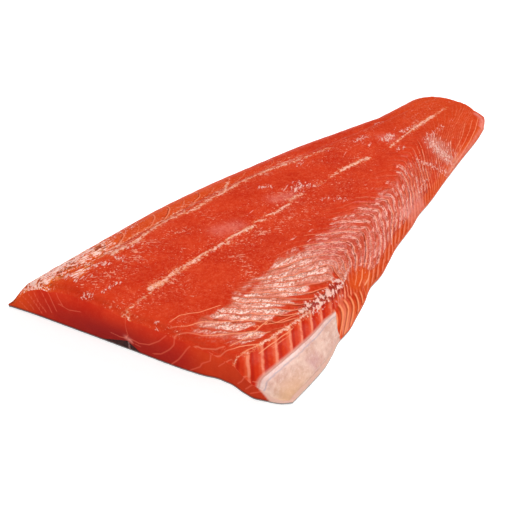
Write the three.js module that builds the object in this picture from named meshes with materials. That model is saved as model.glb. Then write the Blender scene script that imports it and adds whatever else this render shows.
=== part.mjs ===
// Raw salmon fillet: the tail half of one side, lying on its skin.
// X runs along the fillet from the straight crosscut to the tail, Y across it
// towards the back of the fish, Z up. Lengths are millimetres.
import * as THREE from 'three';

// ---------------------------------------------------------------- dimensions

const CUT_TO_TAIL = 373;        // length along the midline
const LOIN_HEIGHT = 26;         // skin to the crown of the loin, at the crosscut
const SKIN_THICKNESS = 1.2;
const EDGE_HEIGHT = 0.8;        // flesh that is left at the thin edges of the side

const CUT_ROUNDING = 4;         // radius where the crosscut meets the top
const TAIL_ROUNDING = 3;
const LEAST_END_HEIGHT = 0.3;   // share of the height that the rounding leaves at the thin edges

const SEAM_RAISE = 0.8;         // the fat that stands up in the groove of the midline
const SEAM_REACH = 1.8;
const BACK_SEAM_DEPTH = 0.8;    // the seam between the loin and the strip along the back
const BACK_SEAM_REACH = 2.2;
const RIDGE_RAISE = 0.9;        // the crest where the flank folds over to the belly
const RIDGE_REACH = 0.05;       // share of the half width
const RIDGE_FADES = [160, 240]; // it runs out between these distances from the cut

// The muscle blocks swell a little between the thin sheets that part them. Each sheet of the
// flank starts along the fillet, bends round an apex and runs back towards the head.
const BLOCK_RELIEF = 0.35;
const FLANK_GROWS = [0.35, 0.7];    // the swelling begins on this part of the way to the apex
const EDGE_FADES = [0.93, 1];       // and dies out at these shares of the half width
const SHORT_TRAIL = 12;             // a sheet's upper end trails behind its apex,
const LONG_TRAIL = 34;              // and more so near the cut, up to here
const LONG_TRAIL_ENDS = [72, 102];
const TRAIL_LIMIT = 0.08;
const FOLD_SLOPE = 1.1;             // below its apex a sheet runs back straight near the cut,
const FOLD_ROUNDING = [6, 3];       // and farther on it turns more roundly
const FOLD_ROUNDS = [80, 110];
const HOOK_LENGTH = 18;             // in the strip along the back the sheets hook off the seam
const HOOK_REACH = 4;
const HOOK_PITCH = 13;
const HOOK_START = 0.37;
const STRIP_GROWS = [0.66, 0.74];
const STRIP_FADES = [0.9, 1];
const STRIP_SWELL = 0.6;            // they swell less there
const THIN_FLESH = 4;               // thinner flesh than this shows less relief

const WEDGE_BACK_FOOT = 16;     // dark muscle under the midline, at the crosscut: back of the midline,
const WEDGE_BELLY_FOOT = 8;     // belly side of it,
const WEDGE_HEIGHT = 4.6;       // and its height over the skin

const LINING_THICKNESS = 1;     // membrane of the belly cavity
const LINING_RIM = 0.3;
const LINING_LENGTH = 70;
const LINING_SLANT = 10;        // the lower edge of the lining ends this much earlier
const LINING_LOWER_SHARE = 0.985;
const LINING_MARGIN = 8;        // the flesh is smooth under the lining and this far past its end
const LINING_MARGIN_SHARE = 0.04;
const LINING_LEAN = [0, -0.5, 0.87];    // the bevel faces this way

// Lines that run along the flank, as nominal shares of the half width. The curves
// RIDGE_ALONG and BEVEL_ALONG say where they really lie.
const FLANK_SHARE = 0.3;        // the sheets begin below this one
const RIDGE_SHARE = 0.7;        // where the flank folds over to the belly
const BEVEL_SHARE = 0.84;       // upper edge of the belly bevel and of the lining

// The two ends, seen from above: [place across, distance along]. Across is in mm from the
// midline at the crosscut, and a share of the half width at the tail.
const CUT_LINE = [[-89, 14.5], [-84, 10.2], [-77, 7.6], [-71, 6.1], [-65, 6.8], [-58, 8.1], [-52, 7.9],
  [-42, 5.3], [-31, 3.4], [0, 0], [41, -4.6], [61, -7], [77, -9.6]];
const TAIL_LINE = [[-1, 350], [-0.88, 361], [-0.72, 367.5], [-0.4, 371.5], [0, CUT_TO_TAIL],
  [0.35, 371], [0.6, 365.5], [0.85, 355], [1, 343]];

// Shapes that follow the fillet, each as a few stations [distance from the cut, value].
const BACK_EDGE = [[-10, 76.5], [20, 76.5], [60, 75.4], [92, 74.8], [120, 72.6], [148, 69.2], [176, 64.4],
  [207, 59.2], [223, 56], [254, 48], [288, 39.6], [304, 35.4], [328, 33.6], [352, 32]];
const BELLY_EDGE = [[14, -88.6], [30, -88.2], [43, -87.4], [55, -85], [66, -82.2], [76, -81.6],
  [89, -78.8], [102, -75.8], [119, -71], [129, -70.4], [145, -67], [162, -63], [189, -59.2], [207, -55.6],
  [222, -54.2], [255, -49.3], [290, -44.5], [327, -40], [352, -35.5]];
const MIDLINE = [[0, 0], [30, 0], [62, 2.7], [104, 0.9], [150, -2.3], [225, -4.9], [295, -4.9], [373, -1]];
const BACK_SEAM = [[-3, 47.5], [31, 45.5], [73, 43.8], [113, 43], [160, 39.5], [204, 31], [300, 18], [373, 12]];
const RIDGE_ALONG = [[8, 0.67], [37, 0.73], [78, 0.838], [96, 0.86], [114, 0.85], [150, 0.765], [178, 0.71],
  [207, 0.66], [240, 0.6], [373, 0.55]];
const BEVEL_ALONG = [[0, 0.835], [40, 0.86], [58, 0.89], [77, 0.915], [114, 0.91], [150, 0.88], [200, 0.84]];
const HEIGHT_ALONG = [[-10, 1], [100, 0.9], [200, 0.75], [300, 0.52], [373, 0.31]];
// The sheets start on this line and have their apex on the next one.
const SHEET_TOP = [[0, -32], [30, -34], [150, -34], [200, -31], [230, -20], [260, -10], [300, -3]];
const SHEET_APEX = [[0, -60], [37, -64], [70, -66], [88, -62], [104, -55], [126, -52], [145, -50],
  [165, -45], [195, -40], [225, -31], [260, -21], [300, -11], [373, -5]];
// The number of the sheet that has its apex there, along the fillet.
const SHEET_NUMBERS = [[0, 0], [57, 6], [111, 10.5], [171, 14.5]];

// Cross-sections as [share of the half width from the midline, share of the height].
const BACK_PROFILE = [[0, 0.87], [0.13, 0.96], [0.39, 1], [0.66, 0.89], [0.8, 0.72], [1, 0]];
const FLANK_PROFILE = [[0, 0.87], [0.17, 0.885], [0.36, 0.845], [0.5, 0.745], [0.7, 0.575], [0.77, 0.5],
  [0.84, 0.42], [0.98, 0.06], [1, 0]];
const LIP_PROFILE = [[0, 0.87], [0.17, 0.885], [0.36, 0.85], [0.5, 0.76], [0.7, 0.605], [0.78, 0.53],
  [0.88, 0.42], [0.95, 0.28], [1, 0.06]];
const LIP_START = 68;           // from here to the next value the cut bevel becomes a rounded lip
const LIP_FULL = 84;

// How finely the surfaces are divided. The flank's columns draw closer towards the ridge.
const ROW_PITCH = 3.17;
const COLUMNS_CROWD = 1.7;
const ROUNDED_ROWS = [0.5, 1.6, 3.4];     // extra rows near both ends, mm from the end
const SEAM_SHARES = [0.02, 0.05, 0.1];    // columns beside the midline
const BACK_COLUMNS = 12;
const INNER_COLUMNS = 3;
const FLANK_COLUMNS = 14;
const BAND_COLUMNS = 4;
const BEVEL_SHARES = [0.88, 0.92, 0.955, LINING_LOWER_SHARE, 1];
const WEDGE_ROWS = 12;

// ------------------------------------------------------------ small functions

function smoothstep(low, high, value) {
  const t = Math.min(1, Math.max(0, (value - low) / (high - low)));
  return t * t * (3 - 2 * t);
}

function bump(distance, reach) {
  return Math.exp(-((distance / reach) ** 2));
}

// A smooth curve through stations [x, y] that never overshoots them.
function curveThrough(stations) {
  const last = stations.length - 1;
  const slopes = [];
  for (let i = 0; i < last; i += 1) {
    slopes.push((stations[i + 1][1] - stations[i][1]) / (stations[i + 1][0] - stations[i][0]));
  }
  const tangents = stations.map((station, i) => {
    if (i === 0) return slopes[0];
    if (i === last) return slopes[last - 1];
    const product = slopes[i - 1] * slopes[i];
    return product > 0 ? (2 * product) / (slopes[i - 1] + slopes[i]) : 0;
  });
  return (x) => {
    if (x <= stations[0][0]) return stations[0][1];
    if (x >= stations[last][0]) return stations[last][1];
    let i = 0;
    while (stations[i + 1][0] < x) i += 1;
    const width = stations[i + 1][0] - stations[i][0];
    const t = (x - stations[i][0]) / width;
    const rest = 1 - t;
    return rest * rest * ((1 + 2 * t) * stations[i][1] + t * width * tangents[i])
      + t * t * ((3 - 2 * t) * stations[i + 1][1] - rest * width * tangents[i + 1]);
  };
}

// Straight lines through stations [x, y], carried on past both ends.
function linesThrough(stations) {
  return (x) => {
    let i = 0;
    while (i + 2 < stations.length && stations[i + 1][0] < x) i += 1;
    const [from, to] = [stations[i], stations[i + 1]];
    return from[1] + ((x - from[0]) / (to[0] - from[0])) * (to[1] - from[1]);
  };
}

const backEdge = curveThrough(BACK_EDGE);
const bellyEdge = curveThrough(BELLY_EDGE);
const midline = curveThrough(MIDLINE);
const backSeam = curveThrough(BACK_SEAM);
const ridgeAlong = curveThrough(RIDGE_ALONG);
const bevelAlong = curveThrough(BEVEL_ALONG);
const cutLine = curveThrough(CUT_LINE);
const tailLine = curveThrough(TAIL_LINE);
const heightAlong = curveThrough(HEIGHT_ALONG);
const sheetTop = curveThrough(SHEET_TOP);
const sheetApex = curveThrough(SHEET_APEX);
const sheetNumber = linesThrough(SHEET_NUMBERS);
const backProfile = curveThrough(BACK_PROFILE);
const flankProfile = curveThrough(FLANK_PROFILE);
const lipProfile = curveThrough(LIP_PROFILE);

// ------------------------------------------------------ the form of the side

// A place on the side is given by `along`, 0 at the cut and 1 at the tail, and by
// `share`, from -1 at the belly edge over 0 at the midline to 1 at the back edge.

function halfWidth(x, share) {
  return share > 0 ? backEdge(x) - midline(x) : midline(x) - bellyEdge(x);
}

// Where a nominal share of the half width really lies. On the flank the ridge and the
// upper edge of the bevel wander, and what lies between them is stretched to fit.
function placeAcross(x, share) {
  if (share >= 0) return share * halfWidth(x, share);
  const nominal = [0, RIDGE_SHARE, BEVEL_SHARE, 1];
  const real = [0, ridgeAlong(x), bevelAlong(x), 1];
  const band = nominal.findIndex((edge) => -share <= edge);
  const from = Math.max(0, band - 1);
  const part = (-share - nominal[from]) / (nominal[from + 1] - nominal[from]);
  return -(real[from] + part * (real[from + 1] - real[from])) * halfWidth(x, share);
}

function planPoint(along, share) {
  const start = cutLine(midline(0) + placeAcross(0, share));
  const x = start + along * (tailLine(share) - start);
  return new THREE.Vector2(x, midline(x) + placeAcross(x, share));
}

// How far down a place of the flank lies, from 0 where the sheets start to 1 at their apex.
function partDown(x, y) {
  return Math.min(1, Math.max(TRAIL_LIMIT, (sheetTop(x) - y) / (sheetTop(x) - sheetApex(x))));
}

// Which muscle block of the flank a place lies in. Whole and a half is on a sheet.
function flankBlock(x, y) {
  const up = 1 - partDown(x, y);
  const short = (SHORT_TRAIL * up ** 2) / Math.sqrt(1 - up);
  const long = LONG_TRAIL * up ** 0.8;
  const trail = long + smoothstep(...LONG_TRAIL_ENDS, x + (short + long) / 2) * (short - long);
  const below = Math.max(0, sheetApex(x) - y);
  const [turn, radius] = FOLD_ROUNDING;
  const rounded = Math.hypot(below - turn, radius) - Math.hypot(turn, radius);
  const fold = FOLD_SLOPE * (below + smoothstep(...FOLD_ROUNDS, x) * rounded);
  return sheetNumber(x + trail + fold);
}

// The same in the strip along the back.
function stripBlock(x, y) {
  const hook = HOOK_LENGTH * (1 - Math.exp(-Math.max(0, y - backSeam(x)) / HOOK_REACH));
  return (x - hook) / HOOK_PITCH + HOOK_START;
}

function blockRelief(x, y, share) {
  const lined = smoothstep(LINING_LENGTH + LINING_MARGIN, LINING_LENGTH, x)
    * smoothstep(BEVEL_SHARE - LINING_MARGIN_SHARE, BEVEL_SHARE, -share);
  const onFlank = smoothstep(...FLANK_GROWS, partDown(x, y)) * (1 - smoothstep(...EDGE_FADES, -share))
    * (1 - lined);
  const inStrip = STRIP_SWELL * smoothstep(...STRIP_GROWS, share) * (1 - smoothstep(...STRIP_FADES, share));
  const block = share > 0 ? stripBlock(x, y) : flankBlock(x, y);
  return BLOCK_RELIEF * (onFlank + inStrip) * Math.cos(2 * Math.PI * block);
}

function seamRelief(x, y, share) {
  return SEAM_RAISE * bump(y - midline(x), SEAM_REACH)
    - BACK_SEAM_DEPTH * bump(y - backSeam(x), BACK_SEAM_REACH)
    + RIDGE_RAISE * bump(share + RIDGE_SHARE, RIDGE_REACH) * (1 - smoothstep(...RIDGE_FADES, x));
}

function profileHeight(x, share) {
  if (share > 0) return backProfile(share);
  const lip = smoothstep(LIP_START, LIP_FULL, x);
  return (1 - lip) * flankProfile(-share) + lip * lipProfile(-share);
}

// How far a rounded end has dropped, `inward` mm behind that end.
function endDrop(inward, radius) {
  const left = Math.max(0, 1 - inward / radius);
  return radius * (1 - Math.sqrt(1 - left * left));
}

function topHeight(along, share) {
  const { x, y } = planPoint(along, share);
  const full = (LOIN_HEIGHT - SKIN_THICKNESS - EDGE_HEIGHT) * heightAlong(x) * profileHeight(x, share);
  const relief = (blockRelief(x, y, share) + seamRelief(x, y, share)) * heightAlong(x)
    * smoothstep(0, THIN_FLESH, full);
  const drop = endDrop(along * CUT_TO_TAIL, CUT_ROUNDING)
    + endDrop((1 - along) * CUT_TO_TAIL, TAIL_ROUNDING);
  const least = LEAST_END_HEIGHT * full;
  return SKIN_THICKNESS + EDGE_HEIGHT + Math.max(least, full + relief - drop);
}

// ----------------------------------------------------------- rows and columns

// Numbers from one value to another in even steps, both ends included.
function evenSteps(from, to, count) {
  return Array.from({ length: count + 1 }, (_, i) => from + (i / count) * (to - from));
}

function rowPlaces() {
  const near = ROUNDED_ROWS.map((distance) => distance / CUT_TO_TAIL);
  const clear = 2 * near[near.length - 1];
  const between = evenSteps(clear, 1 - clear, Math.round((CUT_TO_TAIL * (1 - 2 * clear)) / ROW_PITCH));
  return [0, ...near, ...between, ...near.map((place) => 1 - place).reverse(), 1];
}

function columnPlaces() {
  const seam = SEAM_SHARES[SEAM_SHARES.length - 1];
  const flank = evenSteps(0, 1, FLANK_COLUMNS).map((part) => FLANK_SHARE
    + (RIDGE_SHARE - FLANK_SHARE) * part ** (1 / COLUMNS_CROWD));
  const belly = [
    ...SEAM_SHARES,
    ...evenSteps(seam, FLANK_SHARE, INNER_COLUMNS).slice(1, -1),
    ...flank,
    ...evenSteps(RIDGE_SHARE, BEVEL_SHARE, BAND_COLUMNS).slice(1),
    ...BEVEL_SHARES,
  ];
  const back = [...SEAM_SHARES, ...evenSteps(seam, 1, BACK_COLUMNS).slice(1)];
  return [...belly.map((share) => -share).reverse(), 0, ...back];
}

const ROWS = rowPlaces();
const COLUMNS = columnPlaces();

// ------------------------------------------------------------- mesh building

class SolidBuilder {
  constructor() {
    this.positions = [];
    this.faces = [];
  }

  point(x, y, z) {
    this.positions.push(x, y, z);
    return this.positions.length / 3 - 1;
  }

  points(vectors) {
    return vectors.map((v) => this.point(v.x, v.y, v.z));
  }

  triangle(a, b, c) {
    this.faces.push(a, b, c);
  }

  // A patch that faces up: its rows follow each other towards +X, each running towards +Y.
  // The columns that leansOver picks have their cells split along the other diagonal.
  grid(rows, leansOver) {
    for (let i = 0; i + 1 < rows.length; i += 1) {
      for (let j = 0; j + 1 < rows[i].length; j += 1) {
        const corners = [rows[i][j], rows[i + 1][j], rows[i + 1][j + 1], rows[i][j + 1]];
        const turned = [corners[1], corners[2], corners[3], corners[0]];
        this.quad(leansOver(j) ? turned : corners, true);
      }
    }
  }

  quad([a, b, c, d], keepOrder) {
    if (keepOrder) {
      this.triangle(a, b, c);
      this.triangle(a, c, d);
    } else {
      this.triangle(a, c, b);
      this.triangle(a, d, c);
    }
  }

  // Joins two lines of points that run side by side, matched by their Y.
  zip(upper, lower, keepOrder) {
    let i = 0;
    let j = 0;
    while (i + 1 < upper.length || j + 1 < lower.length) {
      const nextUpper = i + 1 < upper.length ? this.positions[upper[i + 1] * 3 + 1] : Infinity;
      const nextLower = j + 1 < lower.length ? this.positions[lower[j + 1] * 3 + 1] : Infinity;
      const stepsUpper = nextUpper <= nextLower;
      const third = stepsUpper ? upper[i + 1] : lower[j + 1];
      if (keepOrder) this.triangle(upper[i], lower[j], third);
      else this.triangle(lower[j], upper[i], third);
      if (stepsUpper) i += 1;
      else j += 1;
    }
  }

  // Fills a level loop of points.
  fill(loop, facesUp) {
    const outline = loop.map((v) => new THREE.Vector2(this.positions[v * 3], this.positions[v * 3 + 1]));
    const anticlockwise = !THREE.ShapeUtils.isClockWise(outline);
    for (const [a, b, c] of THREE.ShapeUtils.triangulateShape(outline, [])) {
      if (anticlockwise === facesUp) this.triangle(loop[a], loop[b], loop[c]);
      else this.triangle(loop[a], loop[c], loop[b]);
    }
  }

  // A wall between two closed loops with the same number of points.
  wall(upperLoop, lowerLoop) {
    for (let i = 0; i < upperLoop.length; i += 1) {
      const next = (i + 1) % upperLoop.length;
      this.quad([lowerLoop[i], lowerLoop[next], upperLoop[next], upperLoop[i]], true);
    }
  }

  mesh(name, material) {
    const geometry = new THREE.BufferGeometry();
    geometry.setAttribute('position', new THREE.Float32BufferAttribute(this.positions, 3));
    geometry.setIndex(this.faces);
    geometry.computeVertexNormals();
    const mesh = new THREE.Mesh(geometry, material);
    mesh.name = name;
    return mesh;
  }
}

// ------------------------------------------------------------ the dark wedge

// The three long lines of the dark muscle: its back foot, its crest and its belly foot.
// Each has the same rows, from the crosscut to the tail end.
function wedgeLines() {
  const lines = { back: [], crest: [], belly: [] };
  for (let i = 0; i <= WEDGE_ROWS; i += 1) {
    const along = i / WEDGE_ROWS;
    const size = heightAlong(along * CUT_TO_TAIL);
    const backShare = (size * WEDGE_BACK_FOOT) / halfWidth(0, 1);
    const bellyShare = (-size * WEDGE_BELLY_FOOT) / halfWidth(0, -1);
    const back = planPoint(along, backShare);
    const crest = planPoint(along, 0);
    const belly = planPoint(along, bellyShare);
    lines.back.push(new THREE.Vector3(back.x, back.y, SKIN_THICKNESS));
    lines.crest.push(new THREE.Vector3(crest.x, crest.y, SKIN_THICKNESS + WEDGE_HEIGHT * size));
    lines.belly.push(new THREE.Vector3(belly.x, belly.y, SKIN_THICKNESS));
  }
  return lines;
}

function edgeLine(along, height) {
  return COLUMNS.map((share) => {
    const { x, y } = planPoint(along, share);
    return new THREE.Vector3(x, y, height);
  });
}

function sideLine(share, height) {
  return ROWS.map((along) => {
    const { x, y } = planPoint(along, share);
    return new THREE.Vector3(x, y, height);
  });
}

// ------------------------------------------------------------------ the flesh

function fleshTopRows(solid) {
  return ROWS.map((along) => COLUMNS.map((share) => {
    const { x, y } = planPoint(along, share);
    return solid.point(x, y, topHeight(along, share));
  }));
}

// The lower edge of an end face, with the notch that the dark muscle fills.
function footRow(cornerLine, wedge, end) {
  const isBelly = (v) => v.y < wedge.belly[end].y;
  const isBack = (v) => v.y > wedge.back[end].y;
  return { belly: cornerLine.filter(isBelly), back: cornerLine.filter(isBack) };
}

function makeFlesh() {
  const solid = new SolidBuilder();
  const top = fleshTopRows(solid);
  solid.grid(top, (j) => COLUMNS[j] >= -RIDGE_SHARE && COLUMNS[j] < -FLANK_SHARE);

  const wedge = wedgeLines();
  const feet = {
    back: solid.points(wedge.back),
    crest: solid.points(wedge.crest),
    belly: solid.points(wedge.belly),
  };
  const cutFoot = footRow(edgeLine(0, SKIN_THICKNESS), wedge, 0);
  const tailFoot = footRow(edgeLine(1, SKIN_THICKNESS), wedge, WEDGE_ROWS);
  const cutBelly = solid.points(cutFoot.belly);
  const cutBack = solid.points(cutFoot.back);
  const tailBelly = solid.points(tailFoot.belly);
  const tailBack = solid.points(tailFoot.back);
  const bellySide = solid.points(sideLine(-1, SKIN_THICKNESS).slice(1, -1));
  const backSide = solid.points(sideLine(1, SKIN_THICKNESS).slice(1, -1));

  const notch = (end) => [feet.belly[end], feet.crest[end], feet.back[end]];
  solid.zip(top[0], [...cutBelly, ...notch(0), ...cutBack], false);
  solid.zip(top[top.length - 1], [...tailBelly, ...notch(WEDGE_ROWS), ...tailBack], true);

  const lastColumn = COLUMNS.length - 1;
  const bellyFoot = [cutBelly[0], ...bellySide, tailBelly[0]];
  const backFoot = [cutBack[cutBack.length - 1], ...backSide, tailBack[tailBack.length - 1]];
  for (let i = 0; i + 1 < ROWS.length; i += 1) {
    solid.quad([bellyFoot[i], bellyFoot[i + 1], top[i + 1][0], top[i][0]], true);
    solid.quad([backFoot[i], backFoot[i + 1], top[i + 1][lastColumn], top[i][lastColumn]], false);
  }

  const reversed = (line) => [...line].reverse();
  solid.fill([...reversed(cutBelly), ...bellySide, ...tailBelly, ...reversed(feet.belly)], false);
  solid.fill([...feet.back, ...tailBack, ...reversed(backSide), ...reversed(cutBack)], false);
  for (let i = 0; i < WEDGE_ROWS; i += 1) {
    solid.quad([feet.belly[i], feet.belly[i + 1], feet.crest[i + 1], feet.crest[i]], false);
    solid.quad([feet.crest[i], feet.crest[i + 1], feet.back[i + 1], feet.back[i]], false);
  }
  return solid.mesh('flesh', fleshMaterial());
}

// ---------------------------------------------------------------- other parts

function makeDarkMuscle() {
  const solid = new SolidBuilder();
  const wedge = wedgeLines();
  const belly = solid.points(wedge.belly);
  const crest = solid.points(wedge.crest);
  const back = solid.points(wedge.back);
  for (let i = 0; i < WEDGE_ROWS; i += 1) {
    solid.quad([belly[i], belly[i + 1], crest[i + 1], crest[i]], true);
    solid.quad([crest[i], crest[i + 1], back[i + 1], back[i]], true);
    solid.quad([belly[i], belly[i + 1], back[i + 1], back[i]], false);
  }
  solid.triangle(belly[0], crest[0], back[0]);
  solid.triangle(belly[WEDGE_ROWS], back[WEDGE_ROWS], crest[WEDGE_ROWS]);
  return solid.mesh('dark_muscle', darkMuscleMaterial());
}

// The outline of the side, anticlockwise from the belly corner of the crosscut.
function outlineLoop(height) {
  const belly = sideLine(-1, height);
  const tail = edgeLine(1, height);
  const back = sideLine(1, height).reverse();
  const cut = edgeLine(0, height).reverse();
  return [belly, tail, back, cut].flatMap((line) => line.slice(0, -1));
}

function makeSkin() {
  const solid = new SolidBuilder();
  const upper = solid.points(outlineLoop(SKIN_THICKNESS));
  const lower = solid.points(outlineLoop(0));
  solid.fill(upper, true);
  solid.fill(lower, false);
  solid.wall(upper, lower);
  return solid.mesh('skin', skinMaterial());
}

// Closes an open patch of triangles into a thin solid: inner face, outer face and rim.
function thicken(solid, inner, outer, triangles) {
  for (const [a, b, c] of triangles) {
    solid.triangle(inner[a], inner[c], inner[b]);
    solid.triangle(outer[a], outer[b], outer[c]);
  }
  for (const [from, to] of openEdges(triangles)) {
    solid.quad([inner[from], inner[to], outer[to], outer[from]], true);
  }
}

// The edges that only one triangle has.
function openEdges(triangles) {
  const edges = new Map();
  for (const [a, b, c] of triangles) {
    for (const [from, to] of [[a, b], [b, c], [c, a]]) {
      const twin = `${to},${from}`;
      if (edges.has(twin)) edges.delete(twin);
      else edges.set(`${from},${to}`, [from, to]);
    }
  }
  return [...edges.values()];
}

// Whether the membrane of the belly cavity covers a place. It lies on the bevel of the
// flap from the crosscut on, and its far end is slanted: the lower edge ends first.
function hasLining(along, share) {
  const down = (-share - BEVEL_SHARE) / (LINING_LOWER_SHARE - BEVEL_SHARE);
  return down >= 0 && down <= 1 && along * CUT_TO_TAIL <= LINING_LENGTH - LINING_SLANT * down;
}

// The part of the top grid that the membrane covers, as places and triangles between them.
function liningPatch() {
  const numbers = new Map();
  const places = [];
  ROWS.forEach((along, i) => COLUMNS.forEach((share, j) => {
    if (!hasLining(along, share)) return;
    numbers.set(`${i},${j}`, places.length);
    places.push({ along, share });
  }));
  const triangles = [];
  for (const key of numbers.keys()) {
    const [i, j] = key.split(',').map(Number);
    const corners = [key, `${i + 1},${j}`, `${i + 1},${j + 1}`, `${i},${j + 1}`].map((k) => numbers.get(k));
    for (const triangle of [[0, 1, 2], [0, 2, 3]]) {
      const vertices = triangle.map((k) => corners[k]);
      if (vertices.every((v) => v !== undefined)) triangles.push(vertices);
    }
  }
  return { places, triangles };
}

function makeBellyLining() {
  const solid = new SolidBuilder();
  const { places, triangles } = liningPatch();
  const rim = new Set(openEdges(triangles).flat());
  const leanOut = new THREE.Vector3(...LINING_LEAN);
  const inner = places.map(({ along, share }) => {
    const { x, y } = planPoint(along, share);
    return new THREE.Vector3(x, y, topHeight(along, share));
  });
  const outer = inner.map((place, v) => {
    const thin = rim.has(v) && (places[v].along > 0 || places[v].share === -BEVEL_SHARE);
    return place.clone().addScaledVector(leanOut, thin ? LINING_RIM : LINING_THICKNESS);
  });
  thicken(solid, solid.points(inner), solid.points(outer), triangles);
  return solid.mesh('belly_lining', liningMaterial());
}

// ------------------------------------------------------------------ materials

function fleshMaterial() {
  return new THREE.MeshStandardMaterial({ color: 0xd4442a, roughness: 0.38, metalness: 0 });
}

function darkMuscleMaterial() {
  return new THREE.MeshStandardMaterial({ color: 0x4a2a2c, roughness: 0.45, metalness: 0 });
}

function skinMaterial() {
  return new THREE.MeshStandardMaterial({ color: 0x4b4a4c, roughness: 0.35, metalness: 0.1 });
}

function liningMaterial() {
  return new THREE.MeshStandardMaterial({ color: 0xe6c0b2, roughness: 0.4, metalness: 0 });
}

// ------------------------------------------------------------------- assembly

// Moves the whole so that it stands on Z = 0 with its box centred on the Z axis.
function centreOnFloor(object) {
  object.updateMatrixWorld(true);
  const box = new THREE.Box3().setFromObject(object, true);
  const middle = box.getCenter(new THREE.Vector3());
  object.position.set(-middle.x, -middle.y, -box.min.z);
}

const group = new THREE.Group();
group.name = 'salmon_fillet';
group.add(makeSkin(), makeDarkMuscle(), makeFlesh(), makeBellyLining());
centreOnFloor(group);

export default group;
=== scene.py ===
import math
from types import SimpleNamespace

import bpy
import numpy as np
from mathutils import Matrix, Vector


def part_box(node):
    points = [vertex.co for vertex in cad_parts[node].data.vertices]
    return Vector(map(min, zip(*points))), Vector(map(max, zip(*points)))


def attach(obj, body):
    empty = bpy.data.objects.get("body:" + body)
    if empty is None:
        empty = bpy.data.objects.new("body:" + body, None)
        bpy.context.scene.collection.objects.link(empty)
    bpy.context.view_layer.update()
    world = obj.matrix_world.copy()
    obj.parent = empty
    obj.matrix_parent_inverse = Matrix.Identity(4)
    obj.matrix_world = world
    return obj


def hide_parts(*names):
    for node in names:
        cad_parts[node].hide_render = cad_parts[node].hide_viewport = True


# A raw salmon fillet: the tail half of one side, lying on its skin. All shapes are worked
# out in the fish's own frame in millimetres: X from the crosscut to the tail along the
# midline, Y towards the back of the fish, Z up. SHIFT moves them onto the CAD model.

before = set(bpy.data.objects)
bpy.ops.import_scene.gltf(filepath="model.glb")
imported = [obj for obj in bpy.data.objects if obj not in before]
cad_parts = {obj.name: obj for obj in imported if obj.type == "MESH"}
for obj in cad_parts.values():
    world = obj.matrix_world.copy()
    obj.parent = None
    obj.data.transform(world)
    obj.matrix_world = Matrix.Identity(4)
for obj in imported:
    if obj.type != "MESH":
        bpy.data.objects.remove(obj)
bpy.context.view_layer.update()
MM = 0.001


def rise(value, low, high):
    """From 0 to 1, smoothly, as the value passes from low to high."""
    t = np.clip((value - low) / (high - low), 0, 1)
    return t * t * (3 - 2 * t)


def bump(distance, reach):
    return np.exp(-((distance / reach) ** 2))


def mixed(share, one, other):
    return one * (1 - share) + other * share


def curve(stations):
    """A smooth curve through stations {x: y} that never overshoots them."""
    xs, ys = np.array(list(stations.items()), float).T
    slopes = np.diff(ys) / np.diff(xs)
    product, total = slopes[:-1] * slopes[1:], slopes[:-1] + slopes[1:]
    inner = np.where(product > 0, 2 * product / np.where(product > 0, total, 1), 0)
    tangents = np.concatenate([slopes[:1], inner, slopes[-1:]])

    def at(x):
        x = np.clip(x, xs[0], xs[-1])
        i = np.clip(np.searchsorted(xs, x, side="right") - 1, 0, len(slopes) - 1)
        width = xs[i + 1] - xs[i]
        t = (x - xs[i]) / width
        rest = 1 - t
        start = rest * rest * ((1 + 2 * t) * ys[i] + t * width * tangents[i])
        return start + t * t * ((3 - 2 * t) * ys[i + 1] - rest * width * tangents[i + 1])

    return at


# --- the form, as in the CAD model

LENGTH = 373  # of the midline, from the crosscut to the tail
BACK_AT_CUT = 76.5
LOIN_HEIGHT = 26
SKIN_THICKNESS = 1.2
EDGE_HEIGHT = 0.8
CUT_ROUNDING = 4
TAIL_ROUNDING = 3
LEAST_END_HEIGHT = 0.3
SEAM_RAISE = 0.8
SEAM_REACH = 1.8
BACK_SEAM_DEPTH = 0.8
BACK_SEAM_REACH = 2.2
RIDGE_RAISE = 0.9
RIDGE_REACH = 0.05
RIDGE_FADES = (160, 240)
THIN_FLESH = 4
WEDGE_BACK_FOOT = 16
WEDGE_BELLY_FOOT = 8
WEDGE_HEIGHT = 4.6
WEDGE_ROWS = 12
LINING_THICKNESS = 1
LINING_RIM = 0.3
LINING_LENGTH = 70
LINING_SLANT = 10
LINING_LOWER_SHARE = 0.985
LINING_LEAN = (0, -0.5, 0.87)
RIDGE_SHARE = 0.7
BEVEL_SHARE = 0.84
LIP_START, LIP_FULL = 68, 84

cut_line = curve({-89: 14.5, -84: 10.2, -77: 7.6, -71: 6.1, -65: 6.8, -58: 8.1, -52: 7.9, -42: 5.3, -31: 3.4,
    0: 0, 41: -4.6, 61: -7, 77: -9.6})
tail_line = curve({-1: 350, -0.88: 361, -0.72: 367.5, -0.4: 371.5, 0: LENGTH, 0.35: 371, 0.6: 365.5,
    0.85: 355, 1: 343})
back_edge = curve({-10: BACK_AT_CUT, 20: BACK_AT_CUT, 60: 75.4, 92: 74.8, 120: 72.6, 148: 69.2, 176: 64.4,
    207: 59.2, 223: 56, 254: 48, 288: 39.6, 304: 35.4, 328: 33.6, 352: 32})
belly_edge = curve({14: -88.6, 30: -88.2, 43: -87.4, 55: -85, 66: -82.2, 76: -81.6, 89: -78.8, 102: -75.8,
    119: -71, 129: -70.4, 145: -67, 162: -63, 189: -59.2, 207: -55.6, 222: -54.2, 255: -49.3, 290: -44.5,
    327: -40, 352: -35.5})
midline = curve({0: 0, 30: 0, 62: 2.7, 104: 0.9, 150: -2.3, 225: -4.9, 295: -4.9, LENGTH: -1})
back_seam = curve({-3: 47.5, 31: 45.5, 73: 43.8, 113: 43, 160: 39.5, 204: 31, 300: 18, LENGTH: 12})
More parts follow.
